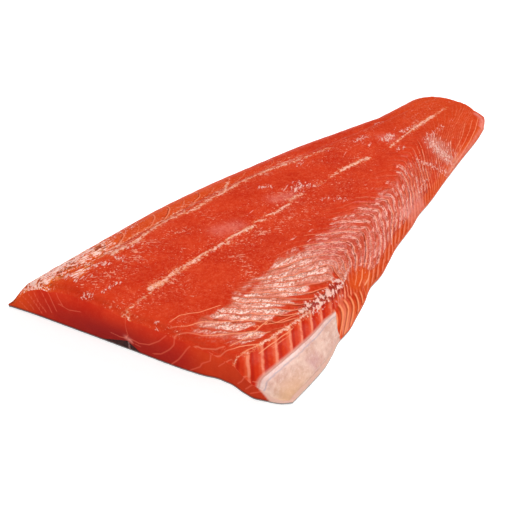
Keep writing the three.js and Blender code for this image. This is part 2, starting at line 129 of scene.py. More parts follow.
ridge_along = curve({8: 0.67, 37: 0.73, 78: 0.838, 96: 0.86, 114: 0.85, 150: 0.765, 178: 0.71, 207: 0.66,
    240: 0.6, LENGTH: 0.55})
bevel_along = curve({0: 0.835, 40: 0.86, 58: 0.89, 77: 0.915, 114: 0.91, 150: 0.88, 200: 0.84})
height_along = curve({-10: 1, 100: 0.9, 200: 0.75, 300: 0.52, LENGTH: 0.31})
back_profile = curve({0: 0.87, 0.13: 0.96, 0.39: 1, 0.66: 0.89, 0.8: 0.72, 1: 0})
flank_profile = curve({0: 0.87, 0.17: 0.885, 0.36: 0.845, 0.5: 0.745, 0.7: 0.575, 0.77: 0.5, 0.84: 0.42,
    0.98: 0.06, 1: 0})
lip_profile = curve({0: 0.87, 0.17: 0.885, 0.36: 0.85, 0.5: 0.76, 0.7: 0.605, 0.78: 0.53, 0.88: 0.42,
    0.95: 0.28, 1: 0.06})

# --- the finer looks, in millimetres

ROW_PITCH = 0.9  # grid of the flesh along the fillet,
NEAR_ROW_PITCH = 0.5  # finer near the crosscut
NEAR_ROWS_END = 46
END_ROWS = [0.25, 0.55, 0.9, 1.3, 1.8, 2.4, 3.1]  # and closest on the rounding of both ends
INNER_ROWS_START = 3.7
CUT_ROWS = 26  # rows of the grid down the crosscut
BELLY_COLUMNS = [(0.08, 13), (0.28, 13), (0.84, 70), (1, 16)]  # half width share, columns up to it
BACK_COLUMNS = [(0.06, 9), (0.46, 26), (0.64, 24), (1, 20)]
LEAST_COLUMN_STEP = 0.005
WEDGE_COLUMNS = 12  # columns of the dark muscle on each side of its crest
SKIN_ROWS, SKIN_COLUMNS = 300, 220
SKIN_FOOT = ((0, SKIN_THICKNESS), (0, 0.75), (0.15, 0.35), (0.5, 0.08), (1.1, 0), (1.8, 0))  # inset, height
LINING_ROWS, LINING_COLUMNS = 100, 44
SHARP_ANGLE = 55

# The sheets between the muscle blocks run along the upper flank, bend round an apex and
# turn back to the head. These give Y of their upper end and of their apex, along X.
sheet_top = curve({0: -32, 30: -34, 150: -34, 200: -31, 230: -20, 260: -10, 300: -3})
sheet_apex = curve({0: -60, 37: -64, 70: -66, 88: -62, 104: -55, 126: -52, 145: -50, 165: -45, 195: -40,
    225: -31, 260: -21, 300: -11, LENGTH: -5})
SHEET_PLACES, SHEET_NUMBERS = [-80, 0, 57, 111, 171, 420], [-8.4, 0, 6, 15, 23, 56]
SHEET_FAR_BEND = 1.5  # how far the upper branch trails behind the apex
APEX_ROUNDING = 5
SHEET_NEAR_BEND = 34
SHEET_NEAR_ENDS = (72, 102)
SHEET_FOLD = (8, 2.5, 8.38)  # where the lower branch folds back: its start, rounding and their hypotenuse
COMB_FOOT = 79  # the lip's own stripes: X of the first, their pitch, Y of their tops
COMB_PITCH = 5.45
COMB_TOP = -73
COMB_HOOK = (4.5, 1.5, 4.743)  # as SHEET_FOLD
BAR_PLACES = [-8, 2.3, 13.2, 24.1, 35.3, 47.2, 56.2, 65.4, 74.5, 83.5, 92.5]  # X where they cross BAR_TOP
BAR_TOP = -64
BAR_BEND = 6.5  # how far the sheets trail below the apex there, and how soon
BAR_BEND_REACH = 5
BAR_LEAN = 1.25
BAR_PITCH = 6.5  # square to the bars
HOOK_LENGTH = 18  # the sheets in the back strip hook off the seam
HOOK_REACH = 4
HOOK_PITCH = 13
HOOK_START = 0.37

BLOCK_RELIEF = 0.32
WRINKLE_RELIEF = 0.14
SMALL_RELIEF = 0.1
CUT_RELIEF = 0.35
FAT_RELIEF = 0.3
GLOSS_RELIEF = 0.25
FIBRE_ANGLE = 18  # degrees from X: the muscle fibres between two sheets
DASH_ANGLE = -54  # and the short folds on the loin


# --- repeatable noise

def lattice(i, j, seed):
    """A repeatable random number from 0 to 1 for each whole-numbered place."""
    h = (i * 374761393 + j * 668265263 + seed * 97531) & 0xFFFFFFFF
    h = ((h ^ (h >> 13)) * 1274126177) & 0xFFFFFFFF
    return ((h ^ (h >> 16)) & 0xFFFF) / 65535


def noise(u, v, seed):
    """A smooth random field from -1 to 1, with features about one unit across."""
    u, v = np.broadcast_arrays(np.asarray(u, float), np.asarray(v, float))
    i, j = np.floor(u).astype(np.int64), np.floor(v).astype(np.int64)
    s, t = u - i, v - j
    s, t = s * s * (3 - 2 * s), t * t * (3 - 2 * t)
    low = mixed(s, lattice(i, j, seed), lattice(i + 1, j, seed))
    high = mixed(s, lattice(i, j + 1, seed), lattice(i + 1, j + 1, seed))
    return 2 * mixed(t, low, high) - 1


def fractal(u, v, seed, octaves=3):
    total, size, weights = 0, 1, 0
    for octave in range(octaves):
        total = total + noise(u / size, v / size, seed + octave) * size
        weights += size
        size /= 2
    return total / weights


# --- form functions

def half_width(x, share):
    return np.where(share > 0, back_edge(x) - midline(x), midline(x) - belly_edge(x))


def place_across(x, share):
    """Where a nominal share of the half width really lies, from the midline."""
    ridge, bevel, down = ridge_along(x), bevel_along(x), -share
    flank = down / RIDGE_SHARE * ridge
    band = ridge + (down - RIDGE_SHARE) / (BEVEL_SHARE - RIDGE_SHARE) * (bevel - ridge)
    edge = bevel + (down - BEVEL_SHARE) / (1 - BEVEL_SHARE) * (1 - bevel)
    belly = np.where(down <= RIDGE_SHARE, flank, np.where(down <= BEVEL_SHARE, band, edge))
    return np.where(share >= 0, share, -belly) * half_width(x, share)


def plan_point(along, share):
    start = cut_line(midline(0) + place_across(0, share))
    x = start + along * (tail_line(share) - start)
    return x, midline(x) + place_across(x, share)


def end_drop(inward, radius):
    left = np.maximum(0, 1 - inward / radius)
    return radius * (1 - np.sqrt(1 - left * left))


def profile_height(x, share):
    lip = rise(x, LIP_START, LIP_FULL)
    belly = mixed(lip, flank_profile(-share), lip_profile(-share))
    return np.where(share > 0, back_profile(share), belly)


def seam_relief(x, y, share):
    ridge = RIDGE_RAISE * bump(share + RIDGE_SHARE, RIDGE_REACH) * (1 - rise(x, *RIDGE_FADES))
    return (SEAM_RAISE * bump(y - midline(x), SEAM_REACH)
            - BACK_SEAM_DEPTH * bump(y - back_seam(x), BACK_SEAM_REACH) + ridge)


def top_height(along, share, extra=0):
    """Height of the upper surface. extra is finer relief that fades where the flesh is thin."""
    x, y = plan_point(along, share)
    full = (LOIN_HEIGHT - SKIN_THICKNESS - EDGE_HEIGHT) * height_along(x) * profile_height(x, share)
    relief = (seam_relief(x, y, share) * height_along(x) + extra) * rise(full, 0, THIN_FLESH)
    drop = end_drop(along * LENGTH, CUT_ROUNDING) + end_drop((1 - along) * LENGTH, TAIL_ROUNDING)
    return SKIN_THICKNESS + EDGE_HEIGHT + np.maximum(LEAST_END_HEIGHT * full, full + relief - drop)


# --- the muscle sheets

def hooked(below, start, rounding, at_top):
    """Zero at the top and down to about start, then growing by 2 for each unit."""
    return np.hypot(below - start, rounding) + below - at_top


def sheet_fields(x, y):
    """Which sheet a place lies on, as a running number, and how far along that sheet it is."""
    top, apex = sheet_top(x), sheet_apex(x)
    down = np.clip((top - y) / (top - apex), 0.08, 1)
    far = SHEET_FAR_BEND * (np.hypot(np.maximum(0, y - apex), APEX_ROUNDING) - APEX_ROUNDING)
    near = SHEET_NEAR_BEND * (1 - down) ** 0.8
    upper = mixed(rise(x + (near + far) / 2, *SHEET_NEAR_ENDS), near, far)
    below = np.maximum(0, apex - y)
    bars = BAR_BEND * (1 - np.exp(-below / BAR_BEND_REACH))
    folded = (1.1 * below + hooked(below, *SHEET_FOLD)) * np.interp(x, [230, 320], [1, 1.8])
    behind = upper + mixed(rise(x, 64, 80), bars, folded)
    number = np.interp(x + behind, SHEET_PLACES, SHEET_NUMBERS)
    along = np.where(y > apex, -1, 1) * (np.abs(apex - y) + 0.5 * behind)
    return number, along


def hook_number(x, y):
    out = np.maximum(0, y - back_seam(x))
    return (x - HOOK_LENGTH * (1 - np.exp(-out / HOOK_REACH))) / HOOK_PITCH + HOOK_START


def bar_number(x, y):
    """The bars of the band between the ridge and the lining, which lean to the head as they go down."""
    return np.interp(x + BAR_LEAN * (BAR_TOP - y), BAR_PLACES, np.arange(len(BAR_PLACES)))


def comb_number(x, y):
    """The lip's stripes, which hook towards the head as they go down."""
    below = np.maximum(0, COMB_TOP - y)
    return (x + 0.2 * below + 1.3 * hooked(below, *COMB_HOOK) - COMB_FOOT) / COMB_PITCH


def spacing(number, x, y):
    """Millimetres from one sheet to the next, square to them, from the grid's own steps."""
    xi, xj = np.gradient(x)
    yi, yj = np.gradient(y)
    ni, nj = np.gradient(number)
    area = xi * yj - xj * yi
    area = np.where(np.abs(area) < 1e-6, 1e-6, area)
    gx = (ni * yj - nj * yi) / area
    gy = (nj * xi - ni * xj) / area
    return np.clip(1 / np.maximum(np.hypot(gx, gy), 1e-3), 0.8, 14)


def crown(number):
    """A muscle block's swelling between two sheets, from -1 in the groove to 1."""
    part = 2 * np.abs(number - np.floor(number) - 0.5)
    return 2 * part ** 0.55 - 1


# --- marks

# On the upper surface: the strength of each mark, its reach, and the points x, y of its line.
FAT = [
    # along the midline
    (0.7, 1.5, -1, 1.6, 0.3, -2), (0.62, 1, 1, 0.5, 7, -0.5, 13, 0.3, 19, 0.4),
    (1.1, 2.6, 23, 2.6, 26, 3, 29, 2.4), (1, 2, 32, 1.8, 36, 2.4, 40, 3.2),
    (0.8, 2.4, 41, 3.2, 48, 2.8, 60, 2), (0.8, 1.2, 60, 3.2, 66, 2.8, 72, 1.6), (0.6, 1, 61, 1.2, 67, 0.8),
    (0.85, 1.4, 72, 1.4, 77, 2, 82, 1.4), (0.75, 1.8, 81, 0, 84, 0.3),
    (1, 1.1, 84, 1.9, 92, 1.4, 99, 0.4, 106, -0.4), (0.9, 1.8, 100, 0.3, 106, -0.4),
    (0.85, 1.3, 110, 1.8, 113, 0.2, 117, -1.9),
    (0.95, 1.2, 120, 0.9, 124, -0.6, 129, -1.8, 134, -1.2, 140, -2),
    (0.8, 1.6, 143, 0.6, 150, 0.3, 156, -1.1), (0.55, 1.2, 170, -1, 180, -1.8),
    (0.7, 1.6, 187, -2, 196, -2.2), (1, 1.9, 199, -2.2, 206, -2.4, 217, -3.8, 228, -5.4),
    (0.75, 1.2, 254, -7.8, 273, -6.2, 292, -5), (0.95, 2, 292, -5, 328, -4.2),
    (0.5, 1.6, 328, -4.2, 353, -3.3),
    # along the back seam
    (0.6, 1.1, 31, 45.8, 60, 45.2, 94, 43.8, 106, 42), (0.8, 2, 33.5, 39.8, 45, 39.6, 54, 38),
    (0.74, 2.4, 52, 38.5, 62, 40.8, 77, 41.6, 88, 39.8, 98, 36.6, 114, 37.4),
    (0.7, 2.2, 114, 37.4, 127, 36.4, 147, 37.6, 157, 35.4, 173, 33.6), (0.85, 1.3, 127, 36.3, 141, 44.7),
    (0.8, 1.6, 166, 34.6, 175, 31.4, 184, 29), (0.6, 1.8, 184, 29, 204, 25, 222, 22),
    # along the ridge
    (0.62, 1.1, 9, -59.5, 14.8, -61.2, 24.3, -63), (0.85, 1.4, 24.3, -63, 37, -64.6, 44.5, -65.8),
    (0.75, 1.6, 44.5, -65.8, 55, -66.6, 62, -67),
]
# Painted highlights: white sparkle painted where the flesh is also glossier.
GLOSS_AND_SPARKLE = [  # white sparkle
    (1, 8, -6, 60, 4, 57, 20, 58), (0.85, 6, 20, 58, 34, 58), (0.6, 3.6, 34, 58, 50, 56),
    (0.9, 3, 3, 44, 7, 46), (0.8, 4, 14, 54, 20, 46), (0.9, 2.4, 19, 39.5, 25, 36), (0.8, 2, 4, 36, 12, 33),
    (0.75, 2.2, 32, 31, 35, 45), (0.85, 2.2, 38, 41.5, 49, 36), (0.85, 1.2, 4, 18.3, 9, 18.6, 15.4, 17.8),
    (0.8, 1.5, -2, 25, 0, 20.7), (0.9, 1, 2, -18, 4, -17), (0.85, 4.2, 155, 5.5, 165, 6.6),
    (0.8, 2.6, 166, 3, 172, 0), (0.7, 2.6, 145, 22, 150, 19), (1, 3.8, 262, 0, 271, 1.5),
    (0.8, 2.2, 283, -1.5, 299, -3), (0.85, 5.5, 286, -24, 280, -33, 274, -41), (0.8, 3, 253, -30, 256, -37),
    (0.8, 3, 255, -41, 260, -47), (0.75, 2, 253, -14, 261, -13.7), (0.55, 2.2, 288, -19, 315, -17.5),
    (0.5, 1.8, 222, -48, 236, -45.5), (0.7, 2, 186, 22, 194, 25, 202, 24.6), (0.6, 1.8, 214, 24, 217, 19.6),
    (0.75, 2.2, 244, 13.7, 258, 12.5), (0.7, 1.8, 284, 20, 290, 19), (0.55, 2.6, 159, -14, 167, -23),
    (1.6, 1, 94.5, -50, 95, -50), (0.5, 6, 36, 58, 70, 58),
]
PALE_CLOUDS = [  # and pale edges
    (0.4, 5, 88, 11, 100, 6), (0.45, 4, 138, 8, 149, 3), (0.7, 4, 189, -55, 212, -53),
    (0.4, 6, 266, 0.5, 266, 0.6), (0.4, 6, 284, -26, 274, -40), (0.9, 2, 345, -35.5, 356, -31.5, 361, -24),
    (0.6, 0.9, 262, -47.5, 288, -44, 316, -41, 345, -36),
]
# The tail's patches of film, where painted sheen and painted highlights lie.
TAIL_FILM_AND_SHEEN = [(1.05, 10.5, 290, -25, 284, -33, 277, -41), (0.7, 4, 252, -30, 256, -37)]
CORNER = [(1, 11, -8, 56, 8, 54, 24, 54, 36, 52), (0.7, 5, 6, 40, 20, 44)]
# Where pale flecks, partly painted highlights, gather.
FLECK_AND_GLINT_CLUSTERS = [
    (1, 4.5, 90, -4, 104, -9, 116, -12, 130, -10), (0.9, 6, 76, -4, 74, -16, 68, -26),
    (0.9, 5, 43, 32, 66, 31, 76, 24), (0.8, 4, 139, 8, 148, 20), (0.85, 10, 10, 28, 40, 25),
    (0.5, 10, 190, 20, 260, 12), (1.1, 8, 36, 46, 110, 44, 200, 31),
]
AMBER = [(1, 4.5, 99, -70.5, 116, -67.5)]
# The same on the crosscut, with the points y, z.
CUT_PALE = [(0.7, 1.2, -2, 6.4, 0.5, 7.8)]
# Thin lines on the upper surface: the strength and the points x, y.
FINE_LINES = [
    (0.95, 2.4, -28, 4, -30, 6.4, -33.5, 9.8, -39.7, 16.5, -45.3, 24.6, -51.6, 31, -55.5, 43, -55.4),
    (0.95, 3.6, -38, 5.2, -40.5, 5.7, -42.9, 6.9, -45.6, 8.6, -48.9, 11.6, -51.2),
    (0.85, 6.3, -47.5, 8.1, -51.8, 11.6, -53.9, 16.5, -56.2, 20.4, -59.1, 25.6, -63.3),
    (1, 25.6, -63.3, 22.2, -61.9, 17.9, -60.8, 12.9, -60.4, 8.5, -59.7), (0.6, 7.6, -55, 8.8, -57.6),
    (0.62, 35, -61, 29, -57, 23.4, -54.8, 14.5, -53),
    (0.8, 14, -62.7, 10.6, -64.9, 8.6, -68, 7.1, -69.3, 6.6, -66), (0.7, 6.5, -72, 8, -75.4),
    (0.7, 7, -76, 8.2, -77.5),
    (0.75, 4.3, -25, 9.9, -30.6, 16.2, -33.5, 19.3, -35.9, 22.6, -39.4, 33.4, -47.5, 38.2, -53.1),
    (0.6, 7, -22.5, 14, -22.8, 18.5, -25.6, 22.3, -28.6, 33, -32.6),
    (0.6, 20.6, -65.3, 33.9, -66.5, 44.8, -67.4), (0.45, 28, -67.8, 41.3, -68.5),
    (0.6, 32.8, -53.1, 42.5, -59.1, 57.3, -64.7),
    (0.5, 356, -28, 335, -35, 315, -39.7, 296, -42.9, 276, -45.8, 265, -47.6),
    (0.45, 348, -26.7, 328, -33.4, 310, -38.1, 288, -42.5, 277, -44.4),
    (0.45, 339, -25, 316, -33.3, 297, -38.1, 285, -41.3), (0.45, 100.1, -70.5, 105.7, -68, 110.7, -65.6),
    (0.6, 102.6, -71.6, 109.4, -69.4, 115.8, -66), (0.6, 108.3, -71.9, 116.5, -69.8, 120.6, -67.9),
    (0.5, 119.6, -63.5, 125, -65.8, 123.5, -68.6),
]
# And on the crosscut, with the points y, z.
CUT_FAT = [
    (0.7, -2.4, 7.7, -7.1, 6.8, -13.1, 8.2, -19.3, 12.8, -24.2, 18.4, -26, 22.5),
    (0.55, -4.6, 5.4, -8.2, 5), (0.75, -15.2, 3.5, -20.1, 5.4, -25, 9.8, -27.8, 13.6, -28.6, 19, -28, 23),
    (0.75, -26.1, 1.6, -30.1, 5.9, -33.1, 10.6, -35.2, 14.2, -37.4, 17, -38, 20),
    (0.8, -36.5, 1.8, -41.6, 5.5, -42.7, 7.9, -46.7, 10.5, -47.5, 17),
    (0.62, -50.8, 8.5, -54.1, 11.9, -55, 15), (0.7, -62.4, 4.1, -64.8, 6.8, -66.5, 10),
    (0.75, -67.5, 4, -68.8, 5.4, -70.7, 7.7, -72, 9), (0.7, -70.5, 3, -72.1, 4.1, -75.9, 6.2),
    (0.6, 10, 7.4, 4, 6.6, 1.6, 7), (0.5, -0.6, 22, 0.4, 15, -0.7, 9.4), (0.9, 0.6, 7.2, -0.7, 9.4),
    (0.65, -1.6, 7, -3.5, 5.4), (0.6, 42, 13.3, 38.5, 12.6, 35.5, 11.8, 27.5, 13.5),
    (0.75, 70.5, 7.5, 67, 5.1, 63.6, 2.3), (0.8, 67.5, 11.5, 64.1, 9, 59.5, 3.7),
    (0.85, 63.5, 15, 60.5, 11.6, 55.9, 5.6, 54.5, 3.4), (0.85, 59, 18, 55.6, 10.3, 51.3, 5),
    (0.8, 54, 20.5, 51.3, 14.8, 48.9, 9.6, 47.6, 6.2), (0.7, 49.5, 22, 46, 13.5, 43.8, 8.3),
    (0.6, 43, 22, 41.6, 17.1, 39.1, 13.1), (0.5, 31, 24, 28.2, 21.8, 29, 16),
]


def points_of(numbers, bend=lambda x, y: x):
    """The points of a line given as x, y, x, y and so on."""
    return [(bend(x, y), y) for x, y in zip(numbers[::2], numbers[1::2])]


def distance_to_line(u, v, points):
    nearest = np.full(np.shape(u), 1e9)
    for (u0, v0), (u1, v1) in zip(points, points[1:]):
        du, dv = u1 - u0, v1 - v0
        t = np.clip(((u - u0) * du + (v - v0) * dv) / (du * du + dv * dv), 0, 1)
        nearest = np.minimum(nearest, np.hypot(u - u0 - t * du, v - v0 - t * dv))
    return nearest


def strokes(u, v, marks):
    return np.max([strength * bump(distance_to_line(u, v, points_of(numbers)), reach)
                   for strength, reach, *numbers in marks], 0)


def thin_lines(u, v, marks, reach, bend=lambda x, y: x):
    """The distance to the nearest of the lines, signed, and its strength, which fades beside it."""
    u = bend(u, v)
    aside, level = np.full(np.shape(u), 9.0), np.zeros(np.shape(u))
    for strength, *numbers in marks:
        points = points_of(numbers, bend)
        for first, second in zip(points, points[1:]):
            distance = distance_to_line(u, v, [first, second])
            side = (v - first[1]) * (second[0] - first[0]) - (u - first[0]) * (second[1] - first[1])
            here = strength * bump(distance, reach)
            aside = np.where(here > level, np.sign(side) * distance, aside)
            level = np.maximum(level, here)
    return aside, level


def unrolled(x, y):
    """x measured along the surface, which falls steeply beside the crosscut."""
    return x - 2.25 * np.exp(-2.2 * np.maximum(x - cut_line(y), 0))


# --- the flesh

WEDGE_SHARES = (-WEDGE_BELLY_FOOT / half_width(0, -1), 0, WEDGE_BACK_FOOT / half_width(0, 1))


def steps(zones):
    places, start = [0.0], 0
    for end, count in zones:
        places += list(np.linspace(start, end, count + 1)[1:])
        start = end
    return places


def columns():
    """The shares at which the grid's columns lie, and those of them that the dark muscle needs."""
    tail = [share * height_along(LENGTH) for share in WEDGE_SHARES[::2]]
    fixed = sorted([*WEDGE_SHARES, *tail])
    free = [-share for share in steps(BELLY_COLUMNS)] + steps(BACK_COLUMNS)
    free = [share for share in free if min(abs(share - f) for f in fixed) > LEAST_COLUMN_STEP]
    return np.array(sorted(free + fixed)), fixed


def rows():
    """The grid's rows, from 0 at the crosscut to 1 at the tail."""
    near = np.array(END_ROWS) / LENGTH
    fine = np.arange(INNER_ROWS_START, NEAR_ROWS_END, NEAR_ROW_PITCH) / LENGTH
    between = np.arange(NEAR_ROWS_END, LENGTH - INNER_ROWS_START, ROW_PITCH) / LENGTH
    return np.concatenate([[0], near, fine, between, 1 - near[::-1], [1]])


def region_masks(along, x, y, share):
    """Where on the side each kind of marking shows, from 0 to 1."""
    over_ridge = y - midline(x) - place_across(x, -RIDGE_SHARE)
    down = (-share - BEVEL_SHARE) / (LINING_LOWER_SHARE - BEVEL_SHARE)
    past_lining = along * LENGTH - LINING_LENGTH + LINING_SLANT * down
    lined = rise(past_lining, 0.5, -2) * rise(-share, 0.825, 0.845)
    fade_up = np.interp(x, [40, 80, 110, 150, 260], [3, 7, 16, 22, 14])
    border = y - sheet_top(x) - 5.5 * bump(x - 20, 15) + 7 * fractal(x / 17, y / 8, 91)
    border += np.interp(x, [150, 180, 205, 230, 260, 300, 330], [0, 3, 5.5, 9.5, 13, 12, 4])
    flank = rise(border, fade_up, -6) * (1 - rise(-share, 0.97, 1)) * (1 - lined)
    lip_width = np.interp(x, [75, 82, 91, 104, 112, 140], [8.8, 8.1, 5.9, 2.4, 3, 3.5])
    lip = rise(x, 64, 70) * rise(y - belly_edge(x), lip_width, lip_width - 1.4) * (1 - lined)
    band = rise(over_ridge, 1, -2) * rise(x, 90, 70) * (1 - lined) * (share < 0)
    wet = flank * (1 - 0.9 * lip) * (1 - band) * rise(x, 330, 180)
    wet *= rise(x - cut_line(y) + 0.2 * (y + 45), -5, 22)
    film_top = np.interp(x, [40, 60, 90, 110, 150, 180, 200, 230], [-20, -27, -31, -36, -35, -36, -30, -26])
    wet *= 1 - 0.75 * rise(y - film_top + 5 * fractal(x / 9, y / 6, 95), -4, 5)
    amber = strokes(x, y, AMBER)
    film_foot = np.interp(x, [0, 20, 45, 60, 80, 96, 110, 122], [10, 8.5, 11, 11, 8, 4, -3, -15])
    return SimpleNamespace(
        flank=flank, band=band, lip=lip, lined=lined, amber=amber,
        wet=np.maximum(wet * (1 - 0.9 * amber), strokes(x, y, TAIL_FILM_AND_SHEEN)),
        ridge=bump(over_ridge - 1, 4.2) * rise(x, 52, 60) * rise(x, 112, 80),
        film_and_sheen=np.clip(over_ridge - film_foot, -20, 20),
        strip=rise(y - back_seam(x), -0.5, 1) * (1 - rise(share, 0.93, 1)),
        lower=rise(over_ridge, 14, 4))


def flesh_fields(along, share):
    """Everything about the flesh's upper surface, on the grid along x share."""
    x, y = plan_point(along, share)
    f = region_masks(along, x, y, share)
    f.x, f.y = x, y
    f.fat = strokes(x, y, FAT)
    f.gloss = strokes(x, y, GLOSS_AND_SPARKLE)
    f.corner = strokes(x, y, CORNER)
    wander = 0.4 * fractal(x / 26, y / 12, 3) + 0.1 * noise(x / 5, y / 3.5, 5)
    flank_number, f.run = sheet_fields(x, y)
    f.number = np.where(share < 0, flank_number + wander, hook_number(x, y) + 0.6 * wander)
    f.gap = spacing(f.number, x, y)
    swell = (f.flank + 0.35 * f.strip) * rise(f.gap, 0.8, 3.5) * (0.65 + 0.5 * noise(x / 11, y / 7, 11))
    wrinkle = fractal(f.number * 3.1, f.run / 9, 21) * f.flank * (1 - 0.6 * f.band) * rise(f.gap, 1.2, 3)
    f.relief = BLOCK_RELIEF * swell * crown(f.number) + WRINKLE_RELIEF * wrinkle
    f.relief += SMALL_RELIEF * fractal(x / 7, y / 3.2, 31)
    f.relief += FAT_RELIEF * f.fat * (0.7 + 0.6 * noise(x / 2.4, y / 2.4, 43))
    f.relief += GLOSS_RELIEF * f.gloss * fractal(x / 3.4, y / 2, 53, 2)
    f.relief += GLOSS_RELIEF * f.ridge * noise(x / 2.6, y / 2.6, 57)
    return f


def surface_fields(f, share):
    """The markings that the flesh's material reads, for the upper surface."""
    x, y = f.x, f.y
    upper = 0.7 + 0.25 * f.lower + 0.15 * rise(x, 120, 60)
    numbered = np.maximum(rise(x, 30, 44), 0.9 * f.band * rise(x, 12, 20))
    lines = numbered * upper * (0.35 + 0.65 * rise(x, 330, 230)) * f.flank * (1 - f.lip) * (1 - f.band)
    lines = lines * (1 - f.amber) + f.lip * np.interp(x, [104, 116, 240], [0, 0.8, 0.45])
    hooks = 0.8 * f.strip * rise(x, 240, 110) * rise(x, 26, 38) * rise(share, 0.92, 0.84)
    tail_rim = rise(LENGTH - x - 12 * (share + 0.3) ** 2, 2.4, 0.4) * (share < 0.1)
    # pale flecks, partly fat and partly painted highlights
    fleck = 0.25 + 0.3 * noise(x / 17, y / 9, 63) + 0.3 * bump(y - midline(x), 9)
    lip_orange = f.lip * np.maximum(0.75 * rise(y, -74, -79), 0.45 * rise(x, 100, 112))
    orange = (0.12 + 0.5 * f.strip * rise(x, 190, 110) + 0.7 * f.amber + lip_orange + 0.8 * f.corner
              + 0.3 * rise(x, 240, 360))
    aside, level = thin_lines(x, y, FINE_LINES, 1.2, unrolled)
    return dict(
        sheet=f.number, gap=f.gap, run=f.run, lines=np.where(share > 0, hooks, lines), wet=f.wet,
        film_and_sheen=f.film_and_sheen, far=rise(x, 78, 120), band=f.band, lip=f.lip, fat=f.fat, aside=aside, thread=level,
        gloss=f.gloss, corner=f.corner, ridge=f.ridge,
        pale=np.maximum(strokes(x, y, PALE_CLOUDS), tail_rim),
        fleck=np.maximum(fleck, strokes(x, y, FLECK_AND_GLINT_CLUSTERS)) * (1 - f.flank) * (1 - 0.5 * f.strip),
        comb=comb_number(x, y), comb_lip=f.lip * rise(x, 108, 102), bars=bar_number(x, y),
        orange=np.clip(orange, 0, 1),
        # painted shade along the groove of the back seam
        groove=bump(y - back_seam(x) + 0.6, 0.9) * rise(x, 24, 36) * rise(x, 150, 110),
        rim=rise(share, 0.86, 0.97), lined=f.lined, deep=0, face=0.75 * rise(x - cut_line(y), 9, 2))


def cut_fields(y, z):
    """The same for the crosscut."""
    aside, level = thin_lines(y, z, CUT_FAT, 0.85)
    # painted shade on the crosscut: how much it darkens towards the skin, at each place across
    deep = [0.5, 0.35, 0.75, 0.95, 1.3, 1.2, 1, 0.7, 0.2]
    return dict(
        gap=5, aside=aside, thread=level, pale=strokes(y, z, CUT_PALE), face=1,
        orange=0.5 * rise(y, 52, 70) + 0.3 * rise(y, -30, -45),
        deep=np.interp(y, [-80, -45, -30, -8, 4, 16, 30, 45, 65], deep),
        lined=rise(y + 80.7 - 0.8 * z, 0.8, -0.8))


def wedge_height(y, size):
    feet = [-WEDGE_BELLY_FOOT * size, 0, WEDGE_BACK_FOOT * size]
    return SKIN_THICKNESS + np.interp(y, feet, [0, WEDGE_HEIGHT * size, 0], left=0, right=0)


def wedge_lines():
    """The belly foot, crest and back foot of the dark muscle, from the cut to the tail."""
    along = np.arange(WEDGE_ROWS + 1) / WEDGE_ROWS
    size = height_along(along * LENGTH)
    return [np.stack([*plan_point(along, size * share), SKIN_THICKNESS + height * size], -1)
            for share, height in zip(WEDGE_SHARES, (0, WEDGE_HEIGHT, 0))]


def put(name, data):
    thing = bpy.data.objects.new(name, data)
    bpy.context.scene.collection.objects.link(thing)
    return thing


class Shape:
    """Collects vertices, faces and one number per vertex for each named field."""

    def __init__(self):
        self.points, self.faces, self.fields, self.count = [], [], {}, 0

    def add(self, x, y, z, **fields):
        """Adds an array of vertices and returns their numbers in the same array shape."""
        x, y, z = np.broadcast_arrays(x, y, z)
        self.points.append(np.stack([x, y, z], -1).reshape(-1, 3))
        for name, value in fields.items():
            self.fields.setdefault(name, []).append((self.count, np.broadcast_to(value, x.shape).ravel()))
        numbers = self.count + np.arange(x.size).reshape(x.shape)
        self.count += x.size
        return numbers

    def grid(self, numbers, flip=False):
        a, b = numbers[:-1, :-1], numbers[1:, :-1]
        c, d = numbers[1:, 1:], numbers[:-1, 1:]
        quads = np.stack([a, d, c, b] if flip else [a, b, c, d], -1).reshape(-1, 4)
        self.faces.extend(quads.tolist())

    def face(self, *numbers):
        self.faces.append([int(n) for n in np.concatenate([np.atleast_1d(n) for n in numbers])])

    def build(self, name, material):
        mesh = bpy.data.meshes.new(name)
        points = (np.concatenate(self.points) + SHIFT) * MM
        mesh.from_pydata(points.tolist(), [], self.faces)
        for field, parts in self.fields.items():
            values = np.zeros(self.count, np.float32)
            for start, part in parts:
                values[start:start + part.size] = part
            mesh.attributes.new(field, "FLOAT", "POINT").data.foreach_set("value", values)
        mesh.polygons.foreach_set("use_smooth", [True] * len(mesh.polygons))
        mesh.set_sharp_from_angle(angle=math.radians(SHARP_ANGLE))
        mesh.materials.append(material)
        return put(name, mesh)


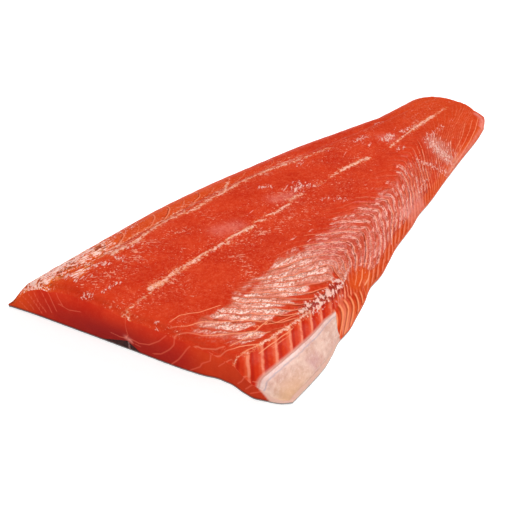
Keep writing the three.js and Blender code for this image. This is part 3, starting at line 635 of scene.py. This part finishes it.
def make_flesh():
    shares, fixed = columns()
    along, share = np.meshgrid(rows(), shares, indexing="ij")
    f = flesh_fields(along, share)
    z = top_height(along, share, f.relief)
    solid = Shape()
    top = solid.add(f.x, f.y, z, **surface_fields(f, share))
    solid.grid(top)

    # The crosscut, a little uneven, down to the skin or to the dark muscle.
    down = (np.arange(1, CUT_ROWS + 1) / CUT_ROWS)[:, None]
    cut_y = np.broadcast_to(f.y[0], (CUT_ROWS, len(shares)))
    cut_z = z[0] + down * (wedge_height(f.y[0], 1) - z[0])
    cut_x = f.x[0] - CUT_RELIEF * fractal(cut_y / 11, cut_z / 6, 71) * np.sin(math.pi * down)
    cut = np.vstack([top[0], solid.add(cut_x, cut_y, cut_z, **cut_fields(cut_y, cut_z))])
    solid.grid(cut, flip=True)

    # The thin walls at the edges and the tail.
    belly_foot = solid.add(f.x[1:, 0], f.y[1:, 0], SKIN_THICKNESS, orange=0.8, lined=f.lined[1:, 0])
    back_foot = solid.add(f.x[1:, -1], f.y[1:, -1], SKIN_THICKNESS, orange=0.4, rim=1)
    tail_x, tail_y = f.x[-1, 1:-1], f.y[-1, 1:-1]
    tail_z = wedge_height(tail_y, height_along(LENGTH))
    tail_foot = solid.add(tail_x, tail_y, tail_z, orange=0.5)
    cut_foot = cut[-1]
    belly_foot = np.concatenate([cut_foot[:1], belly_foot])
    back_foot = np.concatenate([cut_foot[-1:], back_foot])
    tail_foot = np.concatenate([belly_foot[-1:], tail_foot, back_foot[-1:]])
    solid.grid(np.stack([belly_foot, top[:, 0]], 1))
    solid.grid(np.stack([top[:, -1], back_foot], 1))
    solid.grid(np.stack([top[-1], tail_foot]))

    # The underside, with the groove that the dark muscle fills.
    belly_cut, belly_tail, middle, back_tail, back_cut = (
        int(np.argmin(np.abs(shares - share))) for share in fixed)
    ends = ((belly_cut, belly_tail), (middle, middle), (back_cut, back_tail))
    belly, crest, back = (
        np.concatenate([[cut_foot[at_cut]], solid.add(*line[1:-1].T), [tail_foot[at_tail]]])
        for line, (at_cut, at_tail) in zip(wedge_lines(), ends))
    solid.face(cut_foot[:belly_cut + 1], belly[1:], tail_foot[:belly_tail][::-1], belly_foot[1:-1][::-1])
    solid.face(cut_foot[back_cut:], back_foot[1:], tail_foot[back_tail:-1][::-1], back[1:-1][::-1])
    solid.face(cut_foot[belly_cut:middle + 1], crest[1], belly[1])
    solid.face(cut_foot[middle:back_cut + 1], back[1], crest[1])
    solid.grid(np.stack([belly[1:-1], crest[1:-1], back[1:-1]], 1), flip=True)
    solid.face(belly[-2], crest[-2], tail_foot[belly_tail:middle + 1][::-1])
    solid.face(crest[-2], back[-2], tail_foot[middle:back_tail + 1][::-1])
    return solid.build("flesh_surface", flesh_material(solid.fields))


# --- the other pieces

def make_dark_muscle():
    belly, crest, back = wedge_lines()
    part = np.linspace(0, 1, WEDGE_COLUMNS + 1)[:, None, None]
    upper = np.concatenate([mixed(part, belly, crest), mixed(part[1:], crest, back)]).transpose(1, 0, 2)
    solid = Shape()
    high = solid.add(*upper.transpose(2, 0, 1))
    inner = upper[:, 1:-1]
    low = solid.add(inner[..., 0], inner[..., 1], SKIN_THICKNESS)
    low = np.concatenate([high[:, :1], low, high[:, -1:]], 1)
    solid.grid(high)
    solid.grid(low, flip=True)
    for row, turn in ((0, -1), (-1, 1)):
        for k in range(high.shape[1] - 1):
            corners = [high[row, k], high[row, k + 1], low[row, k + 1], low[row, k]][::turn]
            solid.face(*dict.fromkeys(corners))
    return solid.build("dark_muscle_layer", dark_muscle_material())


def make_skin():
    along, across = np.linspace(0, 1, SKIN_ROWS), np.linspace(-1, 1, SKIN_COLUMNS)
    belly, tail, back, cut = (np.stack(plan_point(*place), -1) for place in (
        (along, -1.0), (1.0, across), (along, 1.0), (0.0, across)))
    loop = np.concatenate([belly[:-1], tail[:-1], back[::-1][:-1], cut[::-1][:-1]])
    step = np.roll(loop, -1, 0) - np.roll(loop, 1, 0)
    inward = np.stack([-step[:, 1], step[:, 0]], -1)
    inward /= np.linalg.norm(inward, axis=1)[:, None]
    solid = Shape()
    rings = [solid.add(*(loop + inset * inward).T, height) for inset, height in SKIN_FOOT]
    solid.grid(np.stack([np.append(ring, ring[0]) for ring in rings]))
    solid.face(rings[0])
    solid.face(rings[-1][::-1])
    return solid.build("skin_layer", skin_material())


def make_belly_lining():
    """The membrane of the belly cavity, with faint creases and a thin rim."""
    part_along = np.linspace(0, 1, LINING_ROWS)[:, None]
    down = np.linspace(0, 1, LINING_COLUMNS)[None, :]
    along = part_along * (LINING_LENGTH - LINING_SLANT * down) / LENGTH
    share = np.broadcast_to(-mixed(down, BEVEL_SHARE, LINING_LOWER_SHARE), along.shape)
    x, y = plan_point(along, share)
    z = top_height(along, share)
    rim = rise(down, 0, 0.05) * rise(1 - part_along, 0, 0.06) * rise(1 - down, 0, 0.07)
    creases = 0.1 * fractal(x / 9, down * 6, 81) + 0.05 * fractal(x / 3, down * 14, 83)
    thickness = mixed(rim, LINING_RIM, LINING_THICKNESS) + rim * creases
    solid = Shape()
    inner = solid.add(x, y, z, down=down, out=x)
    outer = solid.add(x, y + LINING_LEAN[1] * thickness, z + LINING_LEAN[2] * thickness, down=down, out=x)
    solid.grid(outer, flip=True)
    solid.grid(inner)
    solid.grid(np.stack([
        np.concatenate([side[:-1, 0], side[-1, :-1], side[::-1, -1][:-1], side[0, ::-1]])
        for side in (inner, outer)]))
    return solid.build("belly_membrane", lining_material())


# --- materials

def arithmetic(operation):
    return lambda value, *others: value.graph.math(operation, value, *others)


class Value:
    """The output of a node. Arithmetic on it adds further nodes."""

    __add__ = __radd__ = arithmetic("ADD")
    __mul__ = __rmul__ = arithmetic("MULTIPLY")
    __sub__ = arithmetic("SUBTRACT")
    __truediv__ = arithmetic("DIVIDE")
    __abs__ = arithmetic("ABSOLUTE")

    def __init__(self, graph, socket):
        self.graph, self.socket = graph, socket

    def __rsub__(self, other):
        return self.graph.math("SUBTRACT", other, self)

    def rise(self, low, high, to_low=0.0, to_high=1.0):
        """Passes from to_low to to_high as this value passes from low to high."""
        inputs = dict(enumerate((self, low, high, to_low, to_high)))
        return self.graph.add("MapRange", inputs, interpolation_type="SMOOTHSTEP")


fract, floor = arithmetic("FRACT"), arithmetic("FLOOR")
rounded, larger = arithmetic("ROUND"), arithmetic("MAXIMUM")


class Graph:
    """The shader nodes of a new material. Their inputs are numbers, colours or Values."""

    def __init__(self, name):
        self.material = bpy.data.materials.new(name)
        self.material.use_nodes = True
        self.tree = self.material.node_tree
        self.shader = self.tree.nodes["Principled BSDF"]

    def feed(self, socket, value):
        if isinstance(value, Value):
            self.tree.links.new(value.socket, socket)
        else:
            socket.default_value = value

    def finish(self, **inputs):
        for name, value in inputs.items():
            self.feed(self.shader.inputs[name.replace("_", " ")], value)
        return self.material

    def add(self, kind, inputs, output=0, **settings):
        """Adds a node and returns one of its outputs."""
        node = self.tree.nodes.new("ShaderNode" + kind)
        for name, value in settings.items():
            setattr(node, name, value)
        for name, value in inputs.items():
            self.feed(node.inputs[name], value)
        return Value(self, node.outputs[output])

    def math(self, operation, *values):
        return self.add("Math", dict(enumerate(values)), operation=operation)

    def field(self, name):
        """A number that Shape.build stored for each vertex."""
        return self.add("Attribute", {}, "Fac", attribute_name=name)

    def random(self, number):
        """A random number from 0 to 1 for each whole number."""
        return self.add("TexWhiteNoise", {"W": number}, "Value", noise_dimensions="1D")

    def mixed(self, share, one, other):
        return self.add("Mix", {0: share, 2: one, 3: other})

    def place(self, scale=(1, 1, 1)):
        """The place on the object in millimetres, times a scale."""
        inputs = {0: self.add("TexCoord", {}, "Object"), 1: [part / MM for part in scale]}
        return self.add("VectorMath", inputs, operation="MULTIPLY")

    def turned(self, place, angle, stretch):
        """The place in a frame turned about Z, stretched along its own X."""
        turn = {"Vector": place, "Rotation": (0, 0, math.radians(angle)), "Scale": (stretch, 1, 1)}
        return self.add("Mapping", turn, vector_type="TEXTURE")

    def part(self, place, axis):
        return self.add("SeparateXYZ", {0: place}, axis)

    def noise(self, place, size, detail=2.0, roughness=0.55):
        """Clouds from 0 to 1. The place is a Value, or a pair of them."""
        if isinstance(place, tuple):
            place = self.add("CombineXYZ", dict(enumerate(place)))
        inputs = {"Vector": place, "Scale": 1 / size, "Detail": detail, "Roughness": roughness}
        return self.add("TexNoise", inputs, "Fac")

    def cells(self, place, size):
        return self.add("TexVoronoi", {"Vector": place, "Scale": 1 / size}, "Distance")

    def mix(self, share, *colours):
        """Goes from one colour to another. A colour is a Value, or screen values from 0 to 255."""
        one, other = (tint if isinstance(tint, Value) else screen_colour(*tint) for tint in colours)
        return self.add("Mix", {0: share, 6: one, 7: other}, 2, data_type="RGBA")

    def layers(self, base, layers):
        """Lays colours over the base, each with its share."""
        for share, colour in layers:
            base = self.mix(share, base, colour)
        return base

    def bump(self, height, depth_mm):
        return self.add("Bump", {"Strength": 1, "Distance": depth_mm * MM, "Height": height})


def screen_colour(*values):
    parts = [value / 255 for value in values]
    linear = [part / 12.92 if part <= 0.04045 else ((part + 0.055) / 1.055) ** 2.4 for part in parts]
    return (*linear, 1.0)


def flesh_material(fields):
    g = Graph("salmon_flesh")
    f = SimpleNamespace(**{name: g.field(name) for name in fields})
    place = g.place()
    cloud = g.noise(place, 24, 3)
    mottle = g.noise(place, 2.6, 3, 0.7)
    grain = g.noise(place, 0.95, 2, 0.65)
    fibre = g.noise(g.turned(place, FIBRE_ANGLE, 4), 0.95)
    rough_part = 1 - f.face * 0.75
    height = g.part(place, 2)

    # Sheets between the blocks: a pale thread with a dip beside it, darkened by painted shade, and a band of
    # painted shade beyond it on the film.
    wobble = (g.noise(place, 2.4) - 0.5) * 0.7
    number = f.sheet + wobble / f.gap
    offset = fract(number) - 0.5
    signed = offset * f.gap
    strand = g.noise((f.sheet, f.run * 0.1), 0.9)
    broken = g.noise((f.sheet, f.run * 0.42), 1).rise(0.4, 0.5)
    firm = larger(f.lip, f.band)
    strong = g.mixed(firm, g.random(floor(number)).rise(0.1, 0.9, 0.4, 1.15), 1)
    dashed = g.mixed(f.far * (1 - f.lip), 1, broken)
    line = abs(signed).rise(0.58, 0.12) * strand.rise(0.2, 0.55, 0.35, 1) * f.lines * strong * dashed
    crease_shade = abs(signed + 0.8).rise(0.42, 0.05) * f.lines * strand.rise(0.62, 0.35, 0.3, 1.2) * strong
    shade = abs(signed + 1.2).rise(1.5, 0.3) * f.wet

    # The stripes of the lip, with painted shade in the valleys beside them, and the bars above the lining,
    # with a painted shadow on their tail side.
    comb = (fract(f.comb + 0.5) - 0.5) * COMB_PITCH + wobble
    stripe = abs(comb).rise(1.25, 0.35) * f.comb_lip
    valley_shade = abs(comb + 1.5).rise(1.2, 0.3) * f.comb_lip
    bar = (fract(f.bars + 0.5) - 0.5) * BAR_PITCH + wobble * 1.3
    bar_part = f.band * g.noise(place, 4).rise(0.3, 0.55, 0.45, 1)
    bar_line = abs(bar).rise(1, 0.2) * bar_part
    bar_glow = abs(bar + 0.9).rise(1.6, 0.2) * bar_part
    bar_shadow = abs(bar - 1.7).rise(1.4, 0.2) * f.band

    # On the blocks lies a wet film, wrinkled along the sheets. Its paler colour is partly the membrane's own
    # and partly painted sheen, with painted highlights (glints) on it. It ends in red tongues.
    block = g.random(rounded(number) + 0.3)
    patches = g.noise((f.sheet * 0.8, f.run * 0.055), 1)
    wrinkle = g.noise((f.sheet * 2.4, f.run * 0.1), 1, 3, 0.6)
    inside = (f.film_and_sheen + (block - 0.5) * 9 + (patches - 0.5) * 14).rise(-1.2, 1.2)
    streak = g.noise((f.sheet * 5.5, f.run * 0.22), 1, 2, 0.6)
    coarse = g.noise((f.sheet * 2.3, f.run * 0.26), 1, 2, 0.6)
    wet = (f.wet + (coarse - 0.5) + (fibre - 0.5) * 0.5).rise(0.25, 0.9) * inside
    # painted shade: dark lines in the film's wrinkles and at thirds of each block
    third = abs(fract(number * 3 + 0.5) - 0.5) * f.gap
    third = third.rise(1.4, 0.3, 0, 0.6) * f.gap.rise(5.5, 8) * strand.rise(0.3, 0.5) * wet
    wrinkle_shade = larger(abs(wrinkle - 0.5).rise(0.024, 0) * wet, third)
    film_and_sheen = abs(offset).rise(0.05, 0.17) * patches.rise(0.3, 0.45, 0.35, 1) * wet
    film_and_sheen = film_and_sheen * grain.rise(0.28, 0.5, 0.5, 1) * (1 - f.far * 0.85) * f.wet.rise(0.1, 0.95)
    # painted highlight: white glints on the film
    glint = film_and_sheen * g.mixed(0.5, coarse, grain).rise(0.46, 0.56) * patches.rise(0.4, 0.54)
    hatch = wet * fibre.rise(0.48, 0.36)

    # In the tail half it is torn into bundles of bright dashes, a painted highlight, and dark gashes,
    # painted shade.
    torn_run = g.noise((floor(number) + 0.5, f.run * 0.16), 1)
    bundle = abs(fract(number) - 0.3).rise(0.36, 0.2) * f.far * inside
    bundle = bundle * (torn_run + (f.wet - 0.9) * 0.3).rise(0.39, 0.48)
    bright = streak + (grain - 0.5) * 0.4 + (coarse - 0.5) * 0.5
    dash_glint = bundle * bright.rise(0.44, 0.56)
    gash_shade = bundle * bright.rise(0.42, 0.34)

    # Flecks and folds of the loin: pale fat specks, partly painted highlights. And painted white sparkle
    # where light would strike the wet surface.
    short = g.noise(g.turned(place, DASH_ANGLE, 2.4), 1.15, 2, 0.6)
    spot = g.noise(place, 1.6, 1)
    many = f.fleck * 0.17 + (g.noise(place, 9) - 0.5) * 0.3
    fleck = larger((short + many).rise(0.73, 0.79), (spot + many).rise(0.78, 0.83)) * f.fleck.rise(0.05, 0.3)
    speck_and_glint = g.noise(place, 1.1, 1).rise(0.6, 0.7) * f.fleck.rise(0.05, 0.5)
    lump = g.noise(g.turned(place, 28, 2.6), 1.2, 2, 0.7)
    # painted highlight: white sparkle
    sparkle = (lump + f.gloss * 0.2 + (grain - 0.5) * 0.25).rise(0.62, 0.76) * f.gloss.rise(0.05, 0.25)

    # The rough corner at the back, with painted highlights and painted shade in its pits; the ridge, with
    # painted highlights on its knobs and painted shade in its folds; and the raised fat.
    torn = g.noise(g.turned(place, -12, 2.6), 1.5, 3, 0.7)
    patch = g.noise(place, 7) * 0.5
    corner_glint = (torn + f.corner * 0.2 + patch).rise(0.93, 1) * f.corner.rise(0.15, 0.5)
    pit_shade = (torn + patch).rise(0.7, 0.64) * f.corner.rise(0.4, 0.8)
    cord = g.noise(g.turned(place, -10, 6), 1.3).rise(0.56, 0.62) * f.corner.rise(0.3, 0.7)
    knob = g.noise(g.turned(place, 40, 2), 1.7, 2, 0.5) + (grain - 0.5) * 0.25
    # painted highlight on the ridge
    ridge = (knob + f.ridge * 0.2).rise(0.62, 0.74) * f.ridge.rise(0.1, 0.4)
    fold_shade = (knob - f.ridge * 0.06).rise(0.43, 0.36) * f.ridge.rise(0.3, 0.7)
    ragged = (grain - 0.5) * 1.1 + (spot - 0.5) * 1.5 + (mottle - 0.5) * 0.9
    fat = (f.fat + ragged).rise(0.5, 0.9) * f.fat.rise(0.05, 0.25)
    halo = (f.fat + ragged * 1.5).rise(0.15, 0.6) * f.fat.rise(0.03, 0.2)
    yellow = g.noise(place, 2.2).rise(0.48, 0.62)

    # Thin lines, on the upper side and, wider and fainter, on the crosscut.
    wide = 0.15 + f.thread * 0.45 + f.face * 0.2
    thread = abs(f.aside).rise(wide, 0.05) * (f.thread + (mottle - 0.5) * 0.3).rise(0.3, 0.55)

    base = g.mix(cloud.rise(0.35, 0.65), (187, 38, 20), (200, 52, 27))
    base = g.layers(base, [
        # Muscle, with soft clouds and a fine grain. Painted shade darkens the crosscut towards the skin, and
        # most of all at its foot.
        (f.orange, (214, 82, 26)),
        (mottle.rise(0.46, 0.7, 0, 0.36) * rough_part, (222, 94, 60)),
        (mottle.rise(0.47, 0.3, 0, 0.36) * rough_part, (184, 24, 12)),
        (grain.rise(0.52, 0.72, 0, 0.3) * rough_part, (228, 112, 82)),
        (grain.rise(0.46, 0.3, 0, 0.2) * rough_part, (184, 30, 14)),
        # painted shade, darker towards the skin
        (f.deep * height.rise(21.5, 4.5) * 0.85, (141, 33, 30)),
        # painted shade at the crosscut's foot
        (f.face * height.rise(2.6, 1.2) * 0.6, (84, 22, 18)),
        # The film, partly its own pale colour and partly painted sheen, with painted highlights and painted
        # shade in its wrinkles and tears.
        (wet * wrinkle.rise(0.35, 0.6, 0.1, 0.42) * g.mixed(f.far, 1, 0.1), (216, 120, 92)),
        (shade * 0.5, (182, 66, 34)),
        (film_and_sheen * 0.85, (228, 146, 122)),
        (glint * 0.9, (253, 220, 206)),
        (hatch * 0.65 * (1 - f.far), (178, 78, 42)),
        (bundle * 0.3, (220, 110, 84)),
        (dash_glint * 0.85, (247, 182, 166)),
        (gash_shade * 0.75, (146, 46, 32)),
        (wrinkle_shade * 0.7, (146, 50, 24)),
        # The sheets, the bars and the stripes, with painted shade in the creases, the valleys and the back
        # seam's groove, and a painted shadow beside each bar.
        (crease_shade * 0.62, (134, 34, 18)),
        (f.band * 0.6, (206, 52, 22)),
        (bar_shadow * 0.6, (168, 22, 16)),
        (bar_glow * 0.6, (224, 96, 58)),
        (bar_line * 0.75, (236, 146, 114)),
        (f.groove * 0.5, (158, 40, 18)),
        (line * 0.85, (236, 140, 104)),
        (valley_shade * 0.6, (150, 46, 20)),
        (stripe * 0.9, (238, 142, 98)),
        (thread * g.mixed(f.face, 0.85, 0.42), g.mix(f.face, (240, 152, 112), (222, 104, 80))),
        # The loin, the fat and the rims, with the painted highlights and painted shade of the corner, the
        # sparkle and the ridge.
        (f.pale * mottle.rise(0.3, 0.6, 0.4, 0.8), (230, 144, 130)),
        (speck_and_glint * 0.5, (234, 128, 100)),
        (fleck * 0.75, (242, 156, 128)),
        (cord * 0.7, (234, 152, 88)),
        (corner_glint * 0.9, (248, 208, 196)),
        (pit_shade * 0.75, (104, 44, 36)),
        (sparkle * 0.85, (247, 192, 178)),
        (ridge * 0.85, (243, 196, 182)),
        (fold_shade * 0.6, (128, 34, 38)),
        (halo * 0.45, (226, 122, 78)),
        (fat * 0.9, g.mix(yellow, (247, 190, 170), (237, 158, 122))),
        (fat * grain.rise(0.5, 0.36) * 0.8, (206, 106, 62)),
        (f.rim * 0.6, (140, 52, 24)),
        (f.lined, (216, 172, 156)),
    ])

    relief = wrinkle * wet * 0.8 + grain * (0.15 + wet * 0.5) + fleck * 0.4 + sparkle * 0.5 + ridge * 0.4
    normal = g.bump(relief - fold_shade * 0.6 - crease_shade * 0.8 + fat * 0.5, 0.4)
    gloss = 0.1 + film_and_sheen * 0.7 + wet * 0.1 + dash_glint * 0.3 + sparkle * 0.35 + ridge * 0.5 + fleck * 0.4
    gloss = gloss + f.pale * 0.3
    matt = (1 - f.face * 0.85) * (1 - f.rim * 0.8) * (1 - larger(crease_shade, wrinkle_shade) * 0.85) * (1 - firm * 0.7)
    return g.finish(
        Base_Color=base, Roughness=g.noise(place, 5).rise(0.3, 0.7, 0.34, 0.46), Normal=normal,
        Specular_IOR_Level=0, Subsurface_Weight=0.12, Subsurface_Radius=(1, 0.25, 0.12),
        Subsurface_Scale=0.0015, Coat_Weight=gloss * matt, Coat_Roughness=0.13, Coat_IOR=1.4,
        Coat_Normal=normal)


def dark_muscle_material():
    g = Graph("dark_muscle")
    place = g.place()
    grain = g.noise(place, 1.2, 3)
    fat_line = abs(g.part(place, 1) - SHIFT[1] + 1 + (grain - 0.5) * 1.6).rise(0.8, 0.1, 0, 0.6)
    base = g.mix(grain.rise(0.35, 0.65), (36, 12, 11), (62, 25, 22))
    return g.finish(
        Base_Color=g.mix(fat_line, base, (150, 108, 104)), Normal=g.bump(grain, 0.2),
        Roughness=grain.rise(0.3, 0.7, 0.35, 0.5),
        Specular_IOR_Level=0.06, Coat_Weight=0.04, Coat_Roughness=0.2)


def skin_material():
    g = Graph("salmon_skin")
    place = g.place()
    scales = g.cells(g.place((0.8, 1, 1)), 3.2)
    edge = scales.rise(0.3, 0.75)
    back = (g.part(place, 1) - SHIFT[1]).rise(-30, 60)
    base = g.layers(g.mix(back, (158, 156, 152), (58, 60, 66)), [
        (edge * 0.5, (52, 50, 52)), (g.part(place, 2).rise(0.5, 1.1) * 0.75, (84, 62, 58))])
    return g.finish(
        Base_Color=base, Roughness=edge.rise(0, 1, 0.28, 0.42), Normal=g.bump(scales, 0.25),
        Metallic=0.25, Coat_Weight=0.5, Coat_Roughness=0.18)


def lining_material():
    """Pink, beige towards its lower edge, with a painted highlight along the upper edge, a bluish line near
    that edge and a mauve patch.
    """
    g = Graph("belly_lining")
    place = g.place()
    down, out = g.field("down"), g.field("out")
    cloud = g.noise(place, 9, 3)
    grain = g.noise(g.turned(place, FIBRE_ANGLE, 2), 1.6, 3, 0.7)
    beige = down.rise(0.3, 0.95) * out.rise(42, 10)
    wander = down + (g.noise(place, 5, 3) - 0.5) * 0.14
    blue = abs(wander - 0.2).rise(0.05, 0)
    mauve = abs(out - 40).rise(7, 1) * down.rise(0.35, 0.55) * cloud.rise(0.35, 0.6)
    base = g.layers(g.mix(cloud.rise(0.35, 0.65), (210, 164, 148), (228, 188, 172)), [
        (grain.rise(0.48, 0.7, 0, 0.5), (240, 212, 200)),
        (grain.rise(0.46, 0.3, 0, 0.4), (190, 134, 124)),
        # painted highlight: a paler band along the upper edge
        (down.rise(0.3, 0.1, 0, 0.6) * grain.rise(0.3, 0.6, 0.4, 1), (234, 200, 196)),
        (beige * 0.8, (216, 164, 122)),
        (blue * grain.rise(0.3, 0.6, 0.2, 0.6), (160, 138, 156)),
        (mauve * 0.6, (190, 128, 136)),
        (down.rise(0.07, 0, 0, 0.8), (206, 128, 112)),
    ])
    return g.finish(
        Base_Color=base, Roughness=cloud.rise(0.3, 0.7, 0.4, 0.5), Normal=g.bump(grain + cloud * 0.5, 0.25),
        Subsurface_Weight=0.2, Subsurface_Radius=(1, 0.5, 0.4), Subsurface_Scale=0.002,
        Specular_IOR_Level=0.2, Coat_Weight=0.1, Coat_Roughness=0.25)


# --- floor, light, camera

CAMERA_PLACE = (-250.6, -257.1, 276.4)  # fish frame, millimetres
CAMERA_HEADING = (0.8127, 0.5827)
CAMERA_PITCH = 32  # degrees down
IMAGE_WIDTH = 510
FOCAL_PIXELS = 900
SENSOR_WIDTH = 36

# Each lamp: its direction from the fillet in the fish frame, its strength and its width in degrees.
LAMPS = {
    "key": ((0.68, -0.10, 0.73), 2.1, 20),
    "top": ((-0.25, 0.1, 1.0), 1.1, 60),
    "front": ((-0.8, -0.4, 0.6), 1.2, 60),
}
SKY = 0.12
FLOOR_GLOW = 0.42
FLOOR_SIZE = 6.0  # metres from its middle to each side


def aim(holder, axis, direction):
    holder.rotation_mode = "QUATERNION"
    holder.rotation_quaternion = Vector(direction).to_track_quat(axis, "Y")


def make_camera():
    camera = bpy.data.cameras.new("camera")
    camera.sensor_width = SENSOR_WIDTH
    camera.lens = SENSOR_WIDTH * FOCAL_PIXELS / IMAGE_WIDTH
    camera.clip_start, camera.clip_end = 0.01, 100
    pitch = math.radians(CAMERA_PITCH)
    ahead = [part * math.cos(pitch) for part in CAMERA_HEADING]
    holder = put("camera", camera)
    aim(holder, "-Z", (*ahead, -math.sin(pitch)))
    holder.location = Vector((np.array(CAMERA_PLACE) + SHIFT) * MM)
    bpy.context.scene.camera = holder


def make_floor():
    mesh = bpy.data.meshes.new("floor")
    corners = [(x * FLOOR_SIZE, y * FLOOR_SIZE, 0) for x, y in ((-1, -1), (1, -1), (1, 1), (-1, 1))]
    mesh.from_pydata(corners, [], [(0, 1, 2, 3)])
    mesh.materials.append(Graph("floor").finish(
        Base_Color=(0.9, 0.9, 0.9, 1), Roughness=0.8,
        Emission_Color=(1, 1, 1, 1), Emission_Strength=FLOOR_GLOW))
    put("floor", mesh)


def make_lights():
    for name, (direction, strength, width) in LAMPS.items():
        lamp = bpy.data.lights.new(name, "SUN")
        lamp.energy = strength
        lamp.angle = math.radians(width)
        aim(put(name, lamp), "Z", direction)
    world = bpy.data.worlds.new("studio")
    world.use_nodes = True
    sky = world.node_tree.nodes["Background"].inputs
    sky["Color"].default_value = (1, 1, 1, 1)
    sky["Strength"].default_value = SKY
    bpy.context.scene.world = world
    bpy.context.scene.view_settings.view_transform = "Standard"


# --- assembly

SKIN_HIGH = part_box("skin")[1]
SHIFT = np.array([SKIN_HIGH.x / MM - LENGTH, SKIN_HIGH.y / MM - BACK_AT_CUT, 0.0])

make_camera()
for node, slot, make in (
        ("flesh", "flesh", make_flesh), ("dark_muscle", "dark_muscle", make_dark_muscle),
        ("skin", "skin", make_skin), ("belly_lining", "belly_lining", make_belly_lining)):
    piece = make()
    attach(piece, "root")
    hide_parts(node)
make_floor()
make_lights()
